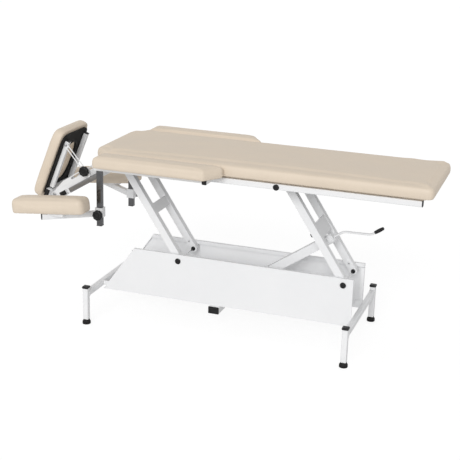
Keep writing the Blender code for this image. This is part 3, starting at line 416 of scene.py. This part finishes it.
def add_hex_bolt(bm, origin, axis, across, height):
    """Hexagon head on a round washer, standing on a surface."""
    axis = Vector(axis).normalized()
    origin = Vector(origin)
    r = across / math.sqrt(3)
    rim = WASHER_R * r
    lift = WASHER_T * across
    washer = [(0, 0), (rim, 0), (rim, 0.7 * lift), (0.97 * rim, lift), (0, lift)]
    add_turned(bm, washer, origin, axis, 24)
    turn = axis.to_track_quat("Z", "Y").to_matrix().to_4x4()
    where = Matrix.Translation(origin + axis * (lift + height / 2)) @ turn
    made = bmesh.ops.create_cone(bm, cap_ends=True, segments=6, radius1=r, radius2=r, depth=height,
                                 matrix=where)
    top = [e for v in made["verts"] for e in v.link_edges
           if all((w.co - origin).dot(axis) > lift + 0.9 * height for w in e.verts)]
    bmesh.ops.bevel(bm, geom=list(set(top)), offset=BOLT_CHAMFER * across, offset_type="OFFSET",
                    affect="EDGES", segments=2, profile=0.5, material=-1)


def hex_bolts(name, body, spots, across, height):
    bm = bmesh.new()
    for origin, axis in spots:
        add_hex_bolt(bm, origin, axis, across, height)
    settle(bm)
    place(name, bm, STEEL, body, "steel", smooth=30)


def square_loop(centre, u, v, a, b):
    """Corners of a rectangle round a tube."""
    return [centre + u * (sa * a) + v * (sb * b) for sa, sb in ((-1, -1), (1, -1), (1, 1), (-1, 1))]


BEAD = 0.0021             # radius of a weld bead
BEAD_STEP = 0.0022        # from one ripple of a bead to the next
BEAD_DIP = 0.8            # share of the radius between two ripples


def weld(name, body, runs):
    """Painted fillet welds: rippled beads along closed loops or open runs of points."""
    curve = bpy.data.curves.new(name, "CURVE")
    curve.dimensions = "3D"
    curve.bevel_depth = BEAD
    curve.bevel_resolution = 2
    curve.use_fill_caps = True
    for points, closed in runs:
        ends = points[1:] + points[:1] if closed else points[1:]
        path = []
        for a, b in zip(points, ends):
            count = max(1, round((b - a).length / BEAD_STEP * 2))
            path += [a.lerp(b, k / count) for k in range(count)]
        if not closed:
            path.append(points[-1])
        spline = curve.splines.new("POLY")
        spline.points.add(len(path) - 1)
        spline.use_cyclic_u = closed
        for k, (spot, p) in enumerate(zip(spline.points, path)):
            spot.co = (*p, 1.0)
            spot.radius = 1.0 if k % 2 else BEAD_DIP
    guide = bpy.data.objects.new(name + "_path", curve)
    bpy.context.scene.collection.objects.link(guide)
    bpy.context.view_layer.update()
    mesh = bpy.data.meshes.new_from_object(guide.evaluated_get(bpy.context.evaluated_depsgraph_get()))
    bpy.data.objects.remove(guide)
    mesh.name = name
    mesh.shade_smooth()
    place_mesh(name, mesh, PAINT, body)


def reach(node, axes):
    """Middle of a node and its half sizes along the given axes."""
    middle = Vector((0, 0, 0))
    half = []
    for axis in axes:
        along = [v.co.dot(axis) for v in NODES[node].data.vertices]
        middle += axis * (min(along) + max(along)) / 2
        half.append((max(along) - min(along)) / 2)
    return middle, half


# Upholstery
FOAM_FRAMES = 20
FOAM_PRESSURE = 4.0
START_IN = 0.0015         # a cover starts this much inside its solid's sides
PULL_IN = 0.0012          # most that a cover may draw in
MAIN_OUT = 0.0025         # the main cushion's cover starts this much outside its solid's sides
MAIN_RISE = 0.0050        # and this much above its top
RELAX = 0.5               # strength of one smoothing pass
UNDER_SNAP = 0.45         # points this close to the underside, in voxels, are laid on it
UNDER_HELD = 0.1          # points this close to it are stapled


def lower_face(bm):
    """Direction and level of a cushion's flat underside."""
    under = max(bm.faces, key=lambda face: face.calc_area())
    return under.normal.copy(), under.normal.dot(under.verts[0].co)


def swell_cover(cover, held, limit):
    """Blow the cover up from inside and keep each point within its limit."""
    scene = bpy.context.scene
    group = cover.vertex_groups.new(name="stapled")
    group.add(held, 1.0, "REPLACE")
    cloth = cover.modifiers.new("foam", "CLOTH")
    cloth.settings.quality = 5
    cloth.settings.mass = 0.3
    cloth.settings.tension_stiffness = 15
    cloth.settings.compression_stiffness = 15
    cloth.settings.shear_stiffness = 5
    cloth.settings.bending_stiffness = 1.5
    cloth.settings.use_pressure = True
    cloth.settings.uniform_pressure_force = FOAM_PRESSURE
    cloth.settings.effector_weights.gravity = 0
    cloth.settings.vertex_group_mass = "stapled"
    cloth.collision_settings.use_collision = False
    cloth.point_cache.frame_end = FOAM_FRAMES
    for step in range(1, FOAM_FRAMES + 1):
        scene.frame_set(step)
    blown = bpy.data.meshes.new_from_object(cover.evaluated_get(bpy.context.evaluated_depsgraph_get()))
    steps = [(moved.co - vertex.co).dot(vertex.normal)
             for vertex, moved in zip(cover.data.vertices, blown.vertices)]
    outward = [vertex.normal.copy() for vertex in cover.data.vertices]
    for vertex, normal, step in zip(cover.data.vertices, outward, steps):
        vertex.co += normal * max(-PULL_IN, min(step, limit))
    cover.modifiers.remove(cloth)
    cover.vertex_groups.remove(group)
    bpy.data.meshes.remove(blown)
    scene.frame_set(1)


def upholster(node, voxel, limit, passes, start=-START_IN, rise=0.0):
    """Padded cover in the place of a plain cushion solid.

    It starts moved sideways by start and raised at the top by rise, and the simulation swells it up to limit.
    """
    bm = from_node(node)
    down, level = lower_face(bm)
    deep = level - min(v.co.dot(down) for v in bm.verts)
    for vertex in bm.verts:
        step = vertex.normal * start
        vertex.co += step - down * step.dot(down)
        vertex.co -= down * rise * (level - vertex.co.dot(down)) / deep
    mesh = bpy.data.meshes.new(node + "_cover")
    bm.to_mesh(mesh)
    bm.free()
    cover = place_mesh(node + "_cover", mesh, VINYL, body_of(node), (node,))
    grid = cover.modifiers.new("grid", "REMESH")
    grid.mode = "VOXEL"
    grid.voxel_size = voxel
    bpy.context.view_layer.update()
    fine = bpy.data.meshes.new_from_object(cover.evaluated_get(bpy.context.evaluated_depsgraph_get()))
    cover.modifiers.remove(grid)
    cover.data = fine
    bm = bmesh.new()
    bm.from_mesh(fine)
    for _ in range(passes):
        bmesh.ops.smooth_vert(bm, verts=bm.verts, factor=RELAX, use_axis_x=True, use_axis_y=True,
                              use_axis_z=True)
    for vertex in bm.verts:
        below = vertex.co.dot(down) - level
        if below > -UNDER_SNAP * voxel:
            vertex.co -= down * below
    bm.to_mesh(fine)
    held = [v.index for v in bm.verts if abs(v.co.dot(down) - level) < UNDER_HELD * voxel]
    bm.free()
    swell_cover(cover, held, limit)
    for vertex in fine.vertices:
        below = vertex.co.dot(down) - level
        if below > 0:
            vertex.co -= down * below
    fine.shade_smooth()
    fine.materials.clear()
    fine.materials.append(VINYL)
    soft = cover.modifiers.new("soft", "SUBSURF")
    soft.levels = 1
    soft.render_levels = 1


def cushions():
    upholster("main_cushion", voxel=0.010, limit=0.006, passes=1, start=MAIN_OUT, rise=MAIN_RISE)
    for _, tag in SIDES:
        upholster("side_pad_" + tag, voxel=0.005, limit=0.005, passes=2)
        upholster("rest_cushion_" + tag, voxel=0.0045, limit=0.004, passes=1)
    upholster("panel_cushion", voxel=0.005, limit=0.006, passes=2)


# Painted steel and its welds
def painted_steel():
    nodes = ["cross_tube", "lift_arm_head", "lift_arm_foot", "cross_bar_head", "cross_bar_foot",
             "head_yoke", "panel_cross_bar", "panel_stay", "leg_frame_head", "leg_frame_foot"]
    for stem in ("side_plate", "rail", "pad_bearer", "rest_arm", "panel_rail"):
        nodes += [f"{stem}_{tag}" for _, tag in SIDES]
    for node in nodes:
        eased(node, PAINT, "white_paint", STEEL_EDGE, "painted")


FOLD_T = 0.0025           # sheet of the side plates' foot folds
FOLD_D = 0.015            # their depth from the plates' outer faces
FOLD_LIP = 0.020          # their return along the plates
FOLD_Z = (0.200, 0.377)


def plate_end_folds():
    """Sheet folded in along the foot edge of each side plate, with a return lip."""
    for side, tag in SIDES:
        low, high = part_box("side_plate_" + tag)
        face = max(abs(low.y), abs(high.y))
        end = high.x - FOLD_T / 2
        inner = face - FOLD_D + FOLD_T / 2
        path = [(end, face - FOLD_T), (end, inner), (end - FOLD_LIP, inner)]
        bm = bmesh.new()
        corners = [bm.verts.new((x, side * y, FOLD_Z[0])) for x, y in path]
        edges = [bm.edges.new(pair) for pair in zip(corners, corners[1:])]
        raised = bmesh.ops.extrude_edge_only(bm, edges=edges)["geom"]
        top = [v for v in raised if isinstance(v, bmesh.types.BMVert)]
        bmesh.ops.translate(bm, verts=top, vec=(0, 0, FOLD_Z[1] - FOLD_Z[0]))
        bmesh.ops.recalc_face_normals(bm, faces=bm.faces)
        bmesh.ops.solidify(bm, geom=list(bm.faces), thickness=FOLD_T)
        bmesh.ops.recalc_face_normals(bm, faces=bm.faces)
        ease(bm, STEEL_EDGE)
        place("plate_end_fold_" + tag, bm, PAINT, "base", "white_paint")


def leg_welds():
    for end in ("head", "foot"):
        y_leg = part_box("leg_frame_" + end)[1].y - LEG
        z_mid = sum(LEG_BAR_Z) / 2
        # the caps are as wide as the legs, and the frame also has tabs on one side
        cap_low, cap_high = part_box(f"leg_cap_{end}_near")
        x_mid = (cap_low.x + cap_high.x) / 2
        runs = []
        for side, _ in SIDES:
            centre = Vector((x_mid, side * y_leg, z_mid))
            runs.append((square_loop(centre, X, Z, LEG / 2, LEG / 2), True))
        weld(f"leg_welds_{end}", "base", runs)


def frame_welds():
    runs = []
    for node in ("cross_bar_foot", "cross_bar_head"):
        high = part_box(node)[1]
        x_mid = high.x - RAIL / 2
        for side in (-1, 1):
            centre = Vector((x_mid, side * high.y, high.z - RAIL / 2))
            runs.append((square_loop(centre, X, Z, RAIL / 2, RAIL / 2), True))
    weld("frame_welds", "top", runs)


ARM_LINKS = (("head", "head_arm_pivot", (0.278, 0.335)),   # cross plates along the arms
             ("foot", "lift", (0.256, 0.343)))
ARM_LINK_TOP = 0.016      # their upper faces over the arms' middle
ARM_LINK_T = 0.006        # their thickness
ARM_BAR_Y = 0.088         # inner faces of the arms' bars


def arm_welds():
    along = (Vector(JOINTS["top_level"]["pos_m"]) - Vector(JOINTS["lift"]["pos_m"])).normalized()
    over = Y.cross(along)
    if over.z < 0:
        over = -over
    for end, joint, span in ARM_LINKS:
        foot = Vector(JOINTS[joint]["pos_m"])
        runs = []
        for side, _ in SIDES:
            for level in (ARM_LINK_TOP, ARM_LINK_TOP - ARM_LINK_T):
                line = foot + over * level + Y * side * ARM_BAR_Y
                runs.append(([line + along * s for s in span], False))
        weld("arm_welds_" + end, end + "_arm", runs)


HINGE_OUT = 0.1158        # outer faces of the hinge ears
STAY_OUT = 0.1277         # outer face of the stay
FORK_OUT = 0.0243         # outer faces of the jack's fork
HINGE_BOLT = (0.013, 0.005)   # width across flats and height
FORK_BOLT = (0.015, 0.006)


def pivot_bolts():
    hinge = Vector(JOINTS["face_tilt"]["pos_m"])
    hinge.y = 0
    spots = [(hinge + Y * side * HINGE_OUT, Y * side) for side, _ in SIDES]
    hex_bolts("hinge_bolts", "head_section", spots, *HINGE_BOLT)
    stay = Vector(JOINTS["stay_pivot"]["pos_m"])
    stay.y = -STAY_OUT
    hex_bolts("stay_bolt", "stay", [(stay, -Y)], *HINGE_BOLT)
    spots = [(JACK_FOOT + Y * side * FORK_OUT, Y * side) for side, _ in SIDES]
    hex_bolts("jack_fork_bolts", "jack_rod", spots, *FORK_BOLT)


# Round pieces
def scaled(shape, r, start, way=1):
    """Profile from (share of the radius, height) pairs."""
    return [(share * r, start + way * height) for share, height in shape]


PIN_R = 0.010
PIN_HEAD_T = 0.005
PIN_HEAD = ((0.96, PIN_HEAD_T), (1.00, 0.0044), (1.00, 0.0026), (0.93, 0.0012), (0.80, 0.0004), (0.55, 0.0),
            (0.34, 0.0), (0.30, 0.0008), (0.0, 0.0008))   # depths under the top
COLLAR = (0.0827, 0.0877)   # collars of the lower pins, inside the arms' bars
COLLAR_R = 0.012
COLLAR_FACE = ((0.60, 0.0), (0.86, 0.0008), (1.00, 0.0024))
TIE_R = 0.003
SLEEVE_R = 0.0036         # black sleeve over each end of the tie
SLEEVE_L = 0.034
SLEEVE_TIP = ((0.0, 0.0), (0.80, 0.0), (1.00, 0.0008), (1.00, SLEEVE_L))


def pivot_pins():
    """Pins across the table with domed black heads; the lower ones have collars joined by a thin tie."""
    c0, c1 = COLLAR
    collar = scaled(SLEEVE_TIP, SLEEVE_R, c0 - SLEEVE_L) + scaled(COLLAR_FACE, COLLAR_R, c0)
    collar += [(COLLAR_R, c1), (PIN_R, c1)]
    for stem, body in (("lower_pin", "base"), ("upper_pin", "top")):
        for end in ("head", "foot"):
            node = f"{stem}_{end}"
            low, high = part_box(node)
            middle = (low + high) / 2
            half = (high.y - low.y) / 2
            head = [(PIN_R, half - PIN_HEAD_T)] + scaled(PIN_HEAD, (high.x - low.x) / 2, half, -1)
            bm = bmesh.new()
            if stem == "upper_pin":
                add_turned(bm, [(p, -h) for p, h in reversed(head)] + head, middle, Y, 48)
            else:
                for side, _ in SIDES:
                    add_turned(bm, collar + head, middle, Y * side, 48)
            settle(bm)
            place(node + "_capped", bm, PLASTIC, body, "black_plastic", (node,))
            if stem == "lower_pin":
                bm = bmesh.new()
                add_turned(bm, [(0, -c0), (TIE_R, -c0), (TIE_R, c0), (0, c0)], middle, Y, 24)
                settle(bm)
                place(node + "_tie", bm, PAINT, body, "white_paint")


FOOT_TREAD = ((0.0, 0.0), (0.86, 0.0), (0.97, 0.03), (1.00, 0.10))   # shares of radius and height
FOOT_GROOVE = ((1.00, 0.0), (0.965, 0.02), (0.965, 0.045), (1.00, 0.065))
FOOT_GROOVES = (0.16, 0.27, 0.38)
FOOT_BELL = ((1.00, 0.52), (0.97, 0.57), (0.84, 0.72), (0.78, 0.80), (0.75, 0.97), (0.72, 1.00), (0.0, 1.00))


def rubber_feet():
    """Bell-shaped feet with a ribbed skirt."""
    shape = list(FOOT_TREAD)
    for start in FOOT_GROOVES:
        shape += [(share, start + height) for share, height in FOOT_GROOVE]
    shape += FOOT_BELL
    for end in ("head", "foot"):
        for _, tag in SIDES:
            node = f"foot_{end}_{tag}"
            low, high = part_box(node)
            height = high.z - low.z
            profile = scaled(shape, (high.x - low.x) / 2, 0.0, height)
            bm = bmesh.new()
            add_turned(bm, profile, (low + high) / 2 - Z * height / 2, Z, 48)
            settle(bm)
            place(node + "_ribbed", bm, RUBBER, "base", "black_plastic", (node,))


LEG_CAP_EDGE = 0.0042


def leg_caps():
    for end in ("head", "foot"):
        for _, tag in SIDES:
            node = f"leg_cap_{end}_{tag}"
            low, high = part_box(node)
            bm = bmesh.new()
            add_block(bm, (low + high) / 2, (X, Y, Z), high - low, LEG_CAP_EDGE)
            place(node + "_moulded", bm, PLASTIC, "base", "black_plastic", (node,))


def tube_caps():
    for stem in ("cross_tube_cap", "rail_cap", "bearer_cap", "rest_cap"):
        for _, tag in SIDES:
            eased(f"{stem}_{tag}", PLASTIC, "black_plastic", PLASTIC_EDGE, "moulded")


BUMPER_EDGE = 0.0008


def bumper():
    bm = from_node("arm_bumper")
    ease(bm, BUMPER_EDGE, over=25)
    place("arm_bumper_rubber", bm, RUBBER, "foot_arm", "black_plastic", ("arm_bumper",))


# Clamp knobs
KNOB_LOBES = 9
KNOB_LOBE_DEPTH = 0.085   # share of the radius
KNOB_LOBE_START = 0.6     # lobes begin at this share of the radius
KNOB_HEAD_T = 0.023
KNOB_NECK = 0.004         # collar behind the head
KNOB_STEM_R = 0.0068
KNOB_BACK = ((0.46, -KNOB_NECK), (0.50, 0.0), (0.80, 0.0008), (0.93, 0.0030), (1.00, 0.0075))
KNOB_FACE = ((1.00, 0.0085), (0.97, 0.0045), (0.88, 0.0014), (0.74, 0.0), (0.52, 0.0003), (0.46, 0.0012),
             (0.44, 0.0030), (0.42, 0.0030), (0.40, 0.0012), (0.20, 0.0006), (0.0, 0.0005))   # depths


def lobed_knob(node, body, origin, axis):
    """Star knob: lobed rim, dished face and a pressed-in cover."""
    side = axis.orthogonal().normalized()
    other = axis.cross(side)
    _, half = reach(node, (side, axis))
    r = half[0]
    far = max((v.co - origin).dot(axis) for v in NODES[node].data.vertices)
    start = far - 2 * half[1]
    back = far - KNOB_HEAD_T
    profile = [(0, start), (KNOB_STEM_R, start), (KNOB_STEM_R, back - KNOB_NECK)]
    profile += scaled(KNOB_BACK, r, back) + scaled(KNOB_FACE, r, far, -1)
    bm = bmesh.new()
    add_turned(bm, profile, origin, axis, 108)
    for vertex in bm.verts:
        arm = vertex.co - origin
        arm -= axis * arm.dot(axis)
        if arm.length > KNOB_LOBE_START * r:
            turn = math.atan2(arm.dot(other), arm.dot(side))
            share = (arm.length / r - KNOB_LOBE_START) / (1 - KNOB_LOBE_START)
            vertex.co -= arm * KNOB_LOBE_DEPTH * share * (0.5 - 0.5 * math.cos(KNOB_LOBES * turn))
    settle(bm)
    place(node + "_lobed", bm, PLASTIC, body, "black_plastic", (node,))


def clamp_knobs():
    knobs = [("rest_knob_" + tag, "knob_" + tag, "rest_clamp_" + tag, Y * side) for side, tag in SIDES]
    knobs.append(("panel_knob", "clamp", "clamp_turn", -Y))
    for node, body, joint, axis in knobs:
        lobed_knob(node, body, Vector(JOINTS[joint]["pos_m"]), axis)


# Screw jack and crank
SCREW_EDGE = 0.0006
THREAD_PITCH = 0.004
THREAD_DEPTH = 0.0011
THREAD_ROOT = 0.0080      # radius
THREAD_START = 0.020      # from the jack's foot
THREAD_TURNS = 60
THREAD_STEPS = 20         # of one turn
THREAD_SHAPE = ((0, 0.0), (0, 0.20), (1, 0.38), (1, 0.72), (0, 0.90), (0, 1.0))   # shares of depth and pitch


def jack():
    eased("jack_tube", PAINT, "white_paint", STEEL_EDGE, "painted")
    bm = from_node("jack_screw")
    ease(bm, SCREW_EDGE)
    place("jack_screw_core", bm, STEEL, "jack_rod", "steel", ("jack_screw",))
    start = JACK_FOOT + JACK_AXIS * THREAD_START
    side = JACK_AXIS.orthogonal().normalized()
    bm = bmesh.new()
    rim = [bm.verts.new(start + side * (THREAD_ROOT + deep * THREAD_DEPTH) + JACK_AXIS * (h * THREAD_PITCH))
           for deep, h in THREAD_SHAPE]
    edges = [bm.edges.new(pair) for pair in zip(rim, rim[1:])]
    bmesh.ops.spin(bm, geom=rim + edges, cent=start, axis=JACK_AXIS,
                   dvec=JACK_AXIS * (THREAD_PITCH / THREAD_STEPS), angle=2 * math.pi * THREAD_TURNS,
                   steps=THREAD_STEPS * THREAD_TURNS)
    settle(bm)
    bmesh.ops.holes_fill(bm, edges=[e for e in bm.edges if e.is_boundary], sides=0)
    bmesh.ops.recalc_face_normals(bm, faces=bm.faces)
    place("jack_screw_thread", bm, STEEL, "jack_rod", "steel", smooth=40)


GRIP_RIBS = 7
GRIP_BARE = 0.020         # length without ribs
GRIP_FIRST = 0.008        # from the grip's foot to its first rib
GRIP_SLIM = 0.90          # ribs at the ends, as a share of the radius
GRIP_FOOT = ((0.0, 0.0), (0.70, 0.0), (0.86, 0.0012), (0.90, 0.0040))
GRIP_RIB = ((0.93, 0.0), (1.00, 0.0016), (1.00, 0.0034), (0.93, 0.0048))
GRIP_END = ((0.88, 0.0080), (0.80, 0.0040), (0.58, 0.0012), (0.30, 0.0002), (0.0, 0.0))   # depths


def crank():
    """Bent rod with a rounded, ribbed hand grip."""
    bm = from_node("crank")
    piece = place("crank_painted", bm, PAINT, "crank_handle", "white_paint", ("crank",), smooth=60)
    round_rod = piece.modifiers.new("round", "SUBSURF")
    round_rod.levels = 2
    round_rod.render_levels = 2
    crease = piece.data.attributes.new("crease_edge", "FLOAT", "EDGE")
    sharp = [e.use_edge_sharp for e in piece.data.edges]
    for spot, hard in zip(crease.data, sharp):
        spot.value = 1.0 if hard else 0.0

    side = JACK_AXIS.orthogonal().normalized()
    middle, half = reach("crank_grip", (side, JACK_AXIS.cross(side), JACK_AXIS))
    r = half[0]
    length = 2 * half[2]
    profile = scaled(GRIP_FOOT, r, 0.0)
    for k in range(GRIP_RIBS):
        swell = GRIP_SLIM + (1 - GRIP_SLIM) * math.sin(math.pi * (k + 0.5) / GRIP_RIBS)
        profile += scaled(GRIP_RIB, swell * r, GRIP_FIRST + k * (length - GRIP_BARE) / GRIP_RIBS)
    profile += scaled(GRIP_END, r, length, -1)
    bm = bmesh.new()
    add_turned(bm, profile, middle - JACK_AXIS * half[2], JACK_AXIS, 40)
    settle(bm)
    place("crank_grip_ribbed", bm, PLASTIC, "crank_handle", "black_plastic", ("crank_grip",))


# Chromed tubes, boards and plugs
def chromed_tubes():
    for _, tag in SIDES:
        # the posts take the chrome whose dark base colour paints their shade and dark reflections
        eased("post_" + tag, SHADED_CHROME, "chrome", STEEL_EDGE, "chromed")
        # the head tubes take the chrome whose paler base colour paints a brighter reflection
        eased("head_tube_" + tag, LIT_SATIN_CHROME, "chrome", STEEL_EDGE, "chromed")


def boards():
    for node in ("bed_board", "panel_board"):
        eased(node, PLYWOOD, "black_board", BOARD_EDGE, "painted")


WRAP_T = 0.0012           # vinyl turned round the bed board
WRAP_EDGE = 0.00036


def board_wrap():
    """The main cushion's cover, drawn down over the edge of the bed board and stapled under it."""
    bm = from_node("bed_board")
    bmesh.ops.delete(bm, geom=[f for f in bm.faces if abs(f.normal.z) > 0.5], context="FACES_ONLY")
    bmesh.ops.recalc_face_normals(bm, faces=bm.faces)
    middle = reach("bed_board", (X, Y, Z))[0]
    out = [f for f in bm.faces if f.normal.dot(f.calc_center_median() - middle) < 0]
    bmesh.ops.reverse_faces(bm, faces=out)
    bmesh.ops.solidify(bm, geom=list(bm.faces), thickness=-WRAP_T)
    bmesh.ops.recalc_face_normals(bm, faces=bm.faces)
    ease(bm, WRAP_EDGE)
    place("bed_board_wrap", bm, VINYL, "top", "upholstery")


END_FLAT = 0.0002         # points this close to a tube's far end belong to it
PLUG_T = 0.0035           # rim of a tube plug outside the tube
PLUG_SHANK = 0.010        # shank inside the tube, with this length
PLUG_SHANK_MID = 0.004    # the depth of its middle
PLUG_SHANK_IN = 0.005     # and this much slimmer than the rim
PLUG_EDGE = 0.001


def tube_end(node, out, u, v):
    """Middle and size of the tube end that lies farthest along a direction."""
    points = [vertex.co for vertex in NODES[node].data.vertices]
    far = max(p.dot(out) for p in points)
    rim = [p for p in points if p.dot(out) > far - END_FLAT]
    spans = [(min(p.dot(a) for p in rim), max(p.dot(a) for p in rim)) for a in (u, v)]
    centre = out * far + u * sum(spans[0]) / 2 + v * sum(spans[1]) / 2
    return centre, spans[0][1] - spans[0][0], spans[1][1] - spans[1][0]


def plug_ends(name, node, ends):
    """Black plugs with a rim in open tube ends: (outward, u, v) for each."""
    bm = bmesh.new()
    for out, u, v in ends:
        centre, a, b = tube_end(node, out, u, v)
        shank = (a - PLUG_SHANK_IN, b - PLUG_SHANK_IN, PLUG_SHANK)
        add_block(bm, centre + out * PLUG_T / 2, (u, v, out), (a, b, PLUG_T), PLUG_EDGE)
        add_block(bm, centre - out * PLUG_SHANK_MID, (u, v, out), shank, PLUG_EDGE)
    place(name, bm, PLASTIC, body_of(node), "black_plastic")


def tube_plugs():
    for _, tag in SIDES:
        plug_ends("post_plug_" + tag, "post_" + tag, [(-Z, X, Y)])
        ends = [(PANEL_UP * way, Y, PANEL_OUT) for way in (-1, 1)]
        plug_ends("panel_rail_plugs_" + tag, "panel_rail_" + tag, ends)
    plug_ends("panel_bar_plugs", "panel_cross_bar", [(Y * way, PANEL_UP, PANEL_OUT) for way in (-1, 1)])
    plug_ends("yoke_bar_plugs", "head_yoke", [(Y * way, HEAD_DOWN, HEAD_UP) for way in (-1, 1)])


# Studio
CAMERA_PLACE = Vector((1.7706, -5.1914, 2.3135))
CAMERA_LENS = 83.97
CAMERA_TURN = math.radians(18.809)
CAMERA_TILT = math.radians(18.003)
CAMERA_ROLL = math.radians(1.665)
SENSOR = 36.0
ROOM_LIGHT = 0.565        # of the white room on the part; the room itself shows at 1
FLOOR_SIZE = 60.0
FLOOR_SHADE = 0.25        # paper as the camera sees it, under its glow
FLOOR_BOUNCE = 0.88       # paper as the part sees it
FLOOR_GLOW = 0.83


def camera():
    data = bpy.data.cameras.new("camera")
    data.lens = CAMERA_LENS
    data.sensor_width = SENSOR
    eye = bpy.data.objects.new("camera", data)
    bpy.context.scene.collection.objects.link(eye)
    level = math.cos(CAMERA_TILT)
    back = Vector((math.sin(CAMERA_TURN) * level, -math.cos(CAMERA_TURN) * level, math.sin(CAMERA_TILT)))
    right = (-back).cross(Z).normalized()
    up = right.cross(-back)
    leaned = right * math.cos(CAMERA_ROLL) + up * math.sin(CAMERA_ROLL)
    raised = up * math.cos(CAMERA_ROLL) - right * math.sin(CAMERA_ROLL)
    turn = Matrix((leaned, raised, back)).transposed()
    eye.matrix_world = Matrix.Translation(CAMERA_PLACE) @ turn.to_4x4()
    bpy.context.scene.camera = eye


def wide_sun(name, turn, height, spread, strength):
    """Soft, even light from a compass turn and a height, in degrees."""
    data = bpy.data.lights.new(name, "SUN")
    data.angle = math.radians(spread)
    data.energy = strength
    lamp = bpy.data.objects.new(name, data)
    bpy.context.scene.collection.objects.link(lamp)
    t, h = math.radians(turn), math.radians(height)
    towards = Vector((math.sin(t) * math.cos(h), -math.cos(t) * math.cos(h), math.sin(h)))
    lamp.rotation_mode = "QUATERNION"
    lamp.rotation_quaternion = towards.to_track_quat("Z", "Y")


def white_room():
    world = bpy.data.worlds.new("studio")
    bpy.context.scene.world = world
    world.use_nodes = True
    tree = world.node_tree
    path = wire(tree, "ShaderNodeLightPath").outputs
    seen = maths(tree, "MAXIMUM", path["Is Camera Ray"], path["Is Glossy Ray"])
    clear = maths(tree, "MAXIMUM", seen, path["Is Transmission Ray"])
    strength = wire(tree, "ShaderNodeMapRange", {"Value": clear, "To Min": ROOM_LIGHT, "To Max": 1.0})
    sky = tree.nodes["Background"]
    sky.inputs["Color"].default_value = (1.0, 1.0, 1.0, 1.0)
    tree.links.new(strength.outputs["Result"], sky.inputs["Strength"])


def pale_floor():
    """White paper sweep; seen straight on it glows, so that only a faint shadow stays."""
    bm = bmesh.new()
    bmesh.ops.create_grid(bm, x_segments=1, y_segments=1, size=FLOOR_SIZE)
    mesh = bpy.data.meshes.new("floor")
    bm.to_mesh(mesh)
    bm.free()
    paper = bpy.data.materials.new("floor_paper")
    paper.use_nodes = True
    tree = paper.node_tree
    shader = tree.nodes["Principled BSDF"]
    shader.inputs["Roughness"].default_value = 0.9
    shader.inputs["Specular IOR Level"].default_value = 0.0
    seen = wire(tree, "ShaderNodeLightPath").outputs["Is Camera Ray"]
    tone = wire(tree, "ShaderNodeMapRange", {"Value": seen, "To Min": FLOOR_BOUNCE, "To Max": FLOOR_SHADE})
    tree.links.new(tone.outputs["Result"], shader.inputs["Base Color"])
    glow = wire(tree, "ShaderNodeMapRange", {"Value": seen, "To Min": 0.0, "To Max": FLOOR_GLOW})
    shader.inputs["Emission Color"].default_value = (1.0, 1.0, 1.0, 1.0)
    tree.links.new(glow.outputs["Result"], shader.inputs["Emission Strength"])
    mesh.materials.append(paper)
    floor = bpy.data.objects.new("floor", mesh)
    bpy.context.scene.collection.objects.link(floor)


def studio():
    bpy.context.scene.view_settings.view_transform = "Standard"
    white_room()
    pale_floor()
    wide_sun("key", turn=4.0, height=26.0, spread=32.0, strength=1.45)


camera()
studio()
cushions()
painted_steel()
plate_end_folds()
leg_welds()
frame_welds()
arm_welds()
pivot_bolts()
pivot_pins()
rubber_feet()
leg_caps()
tube_caps()
bumper()
clamp_knobs()
jack()
crank()
chromed_tubes()
boards()
board_wrap()
tube_plugs()
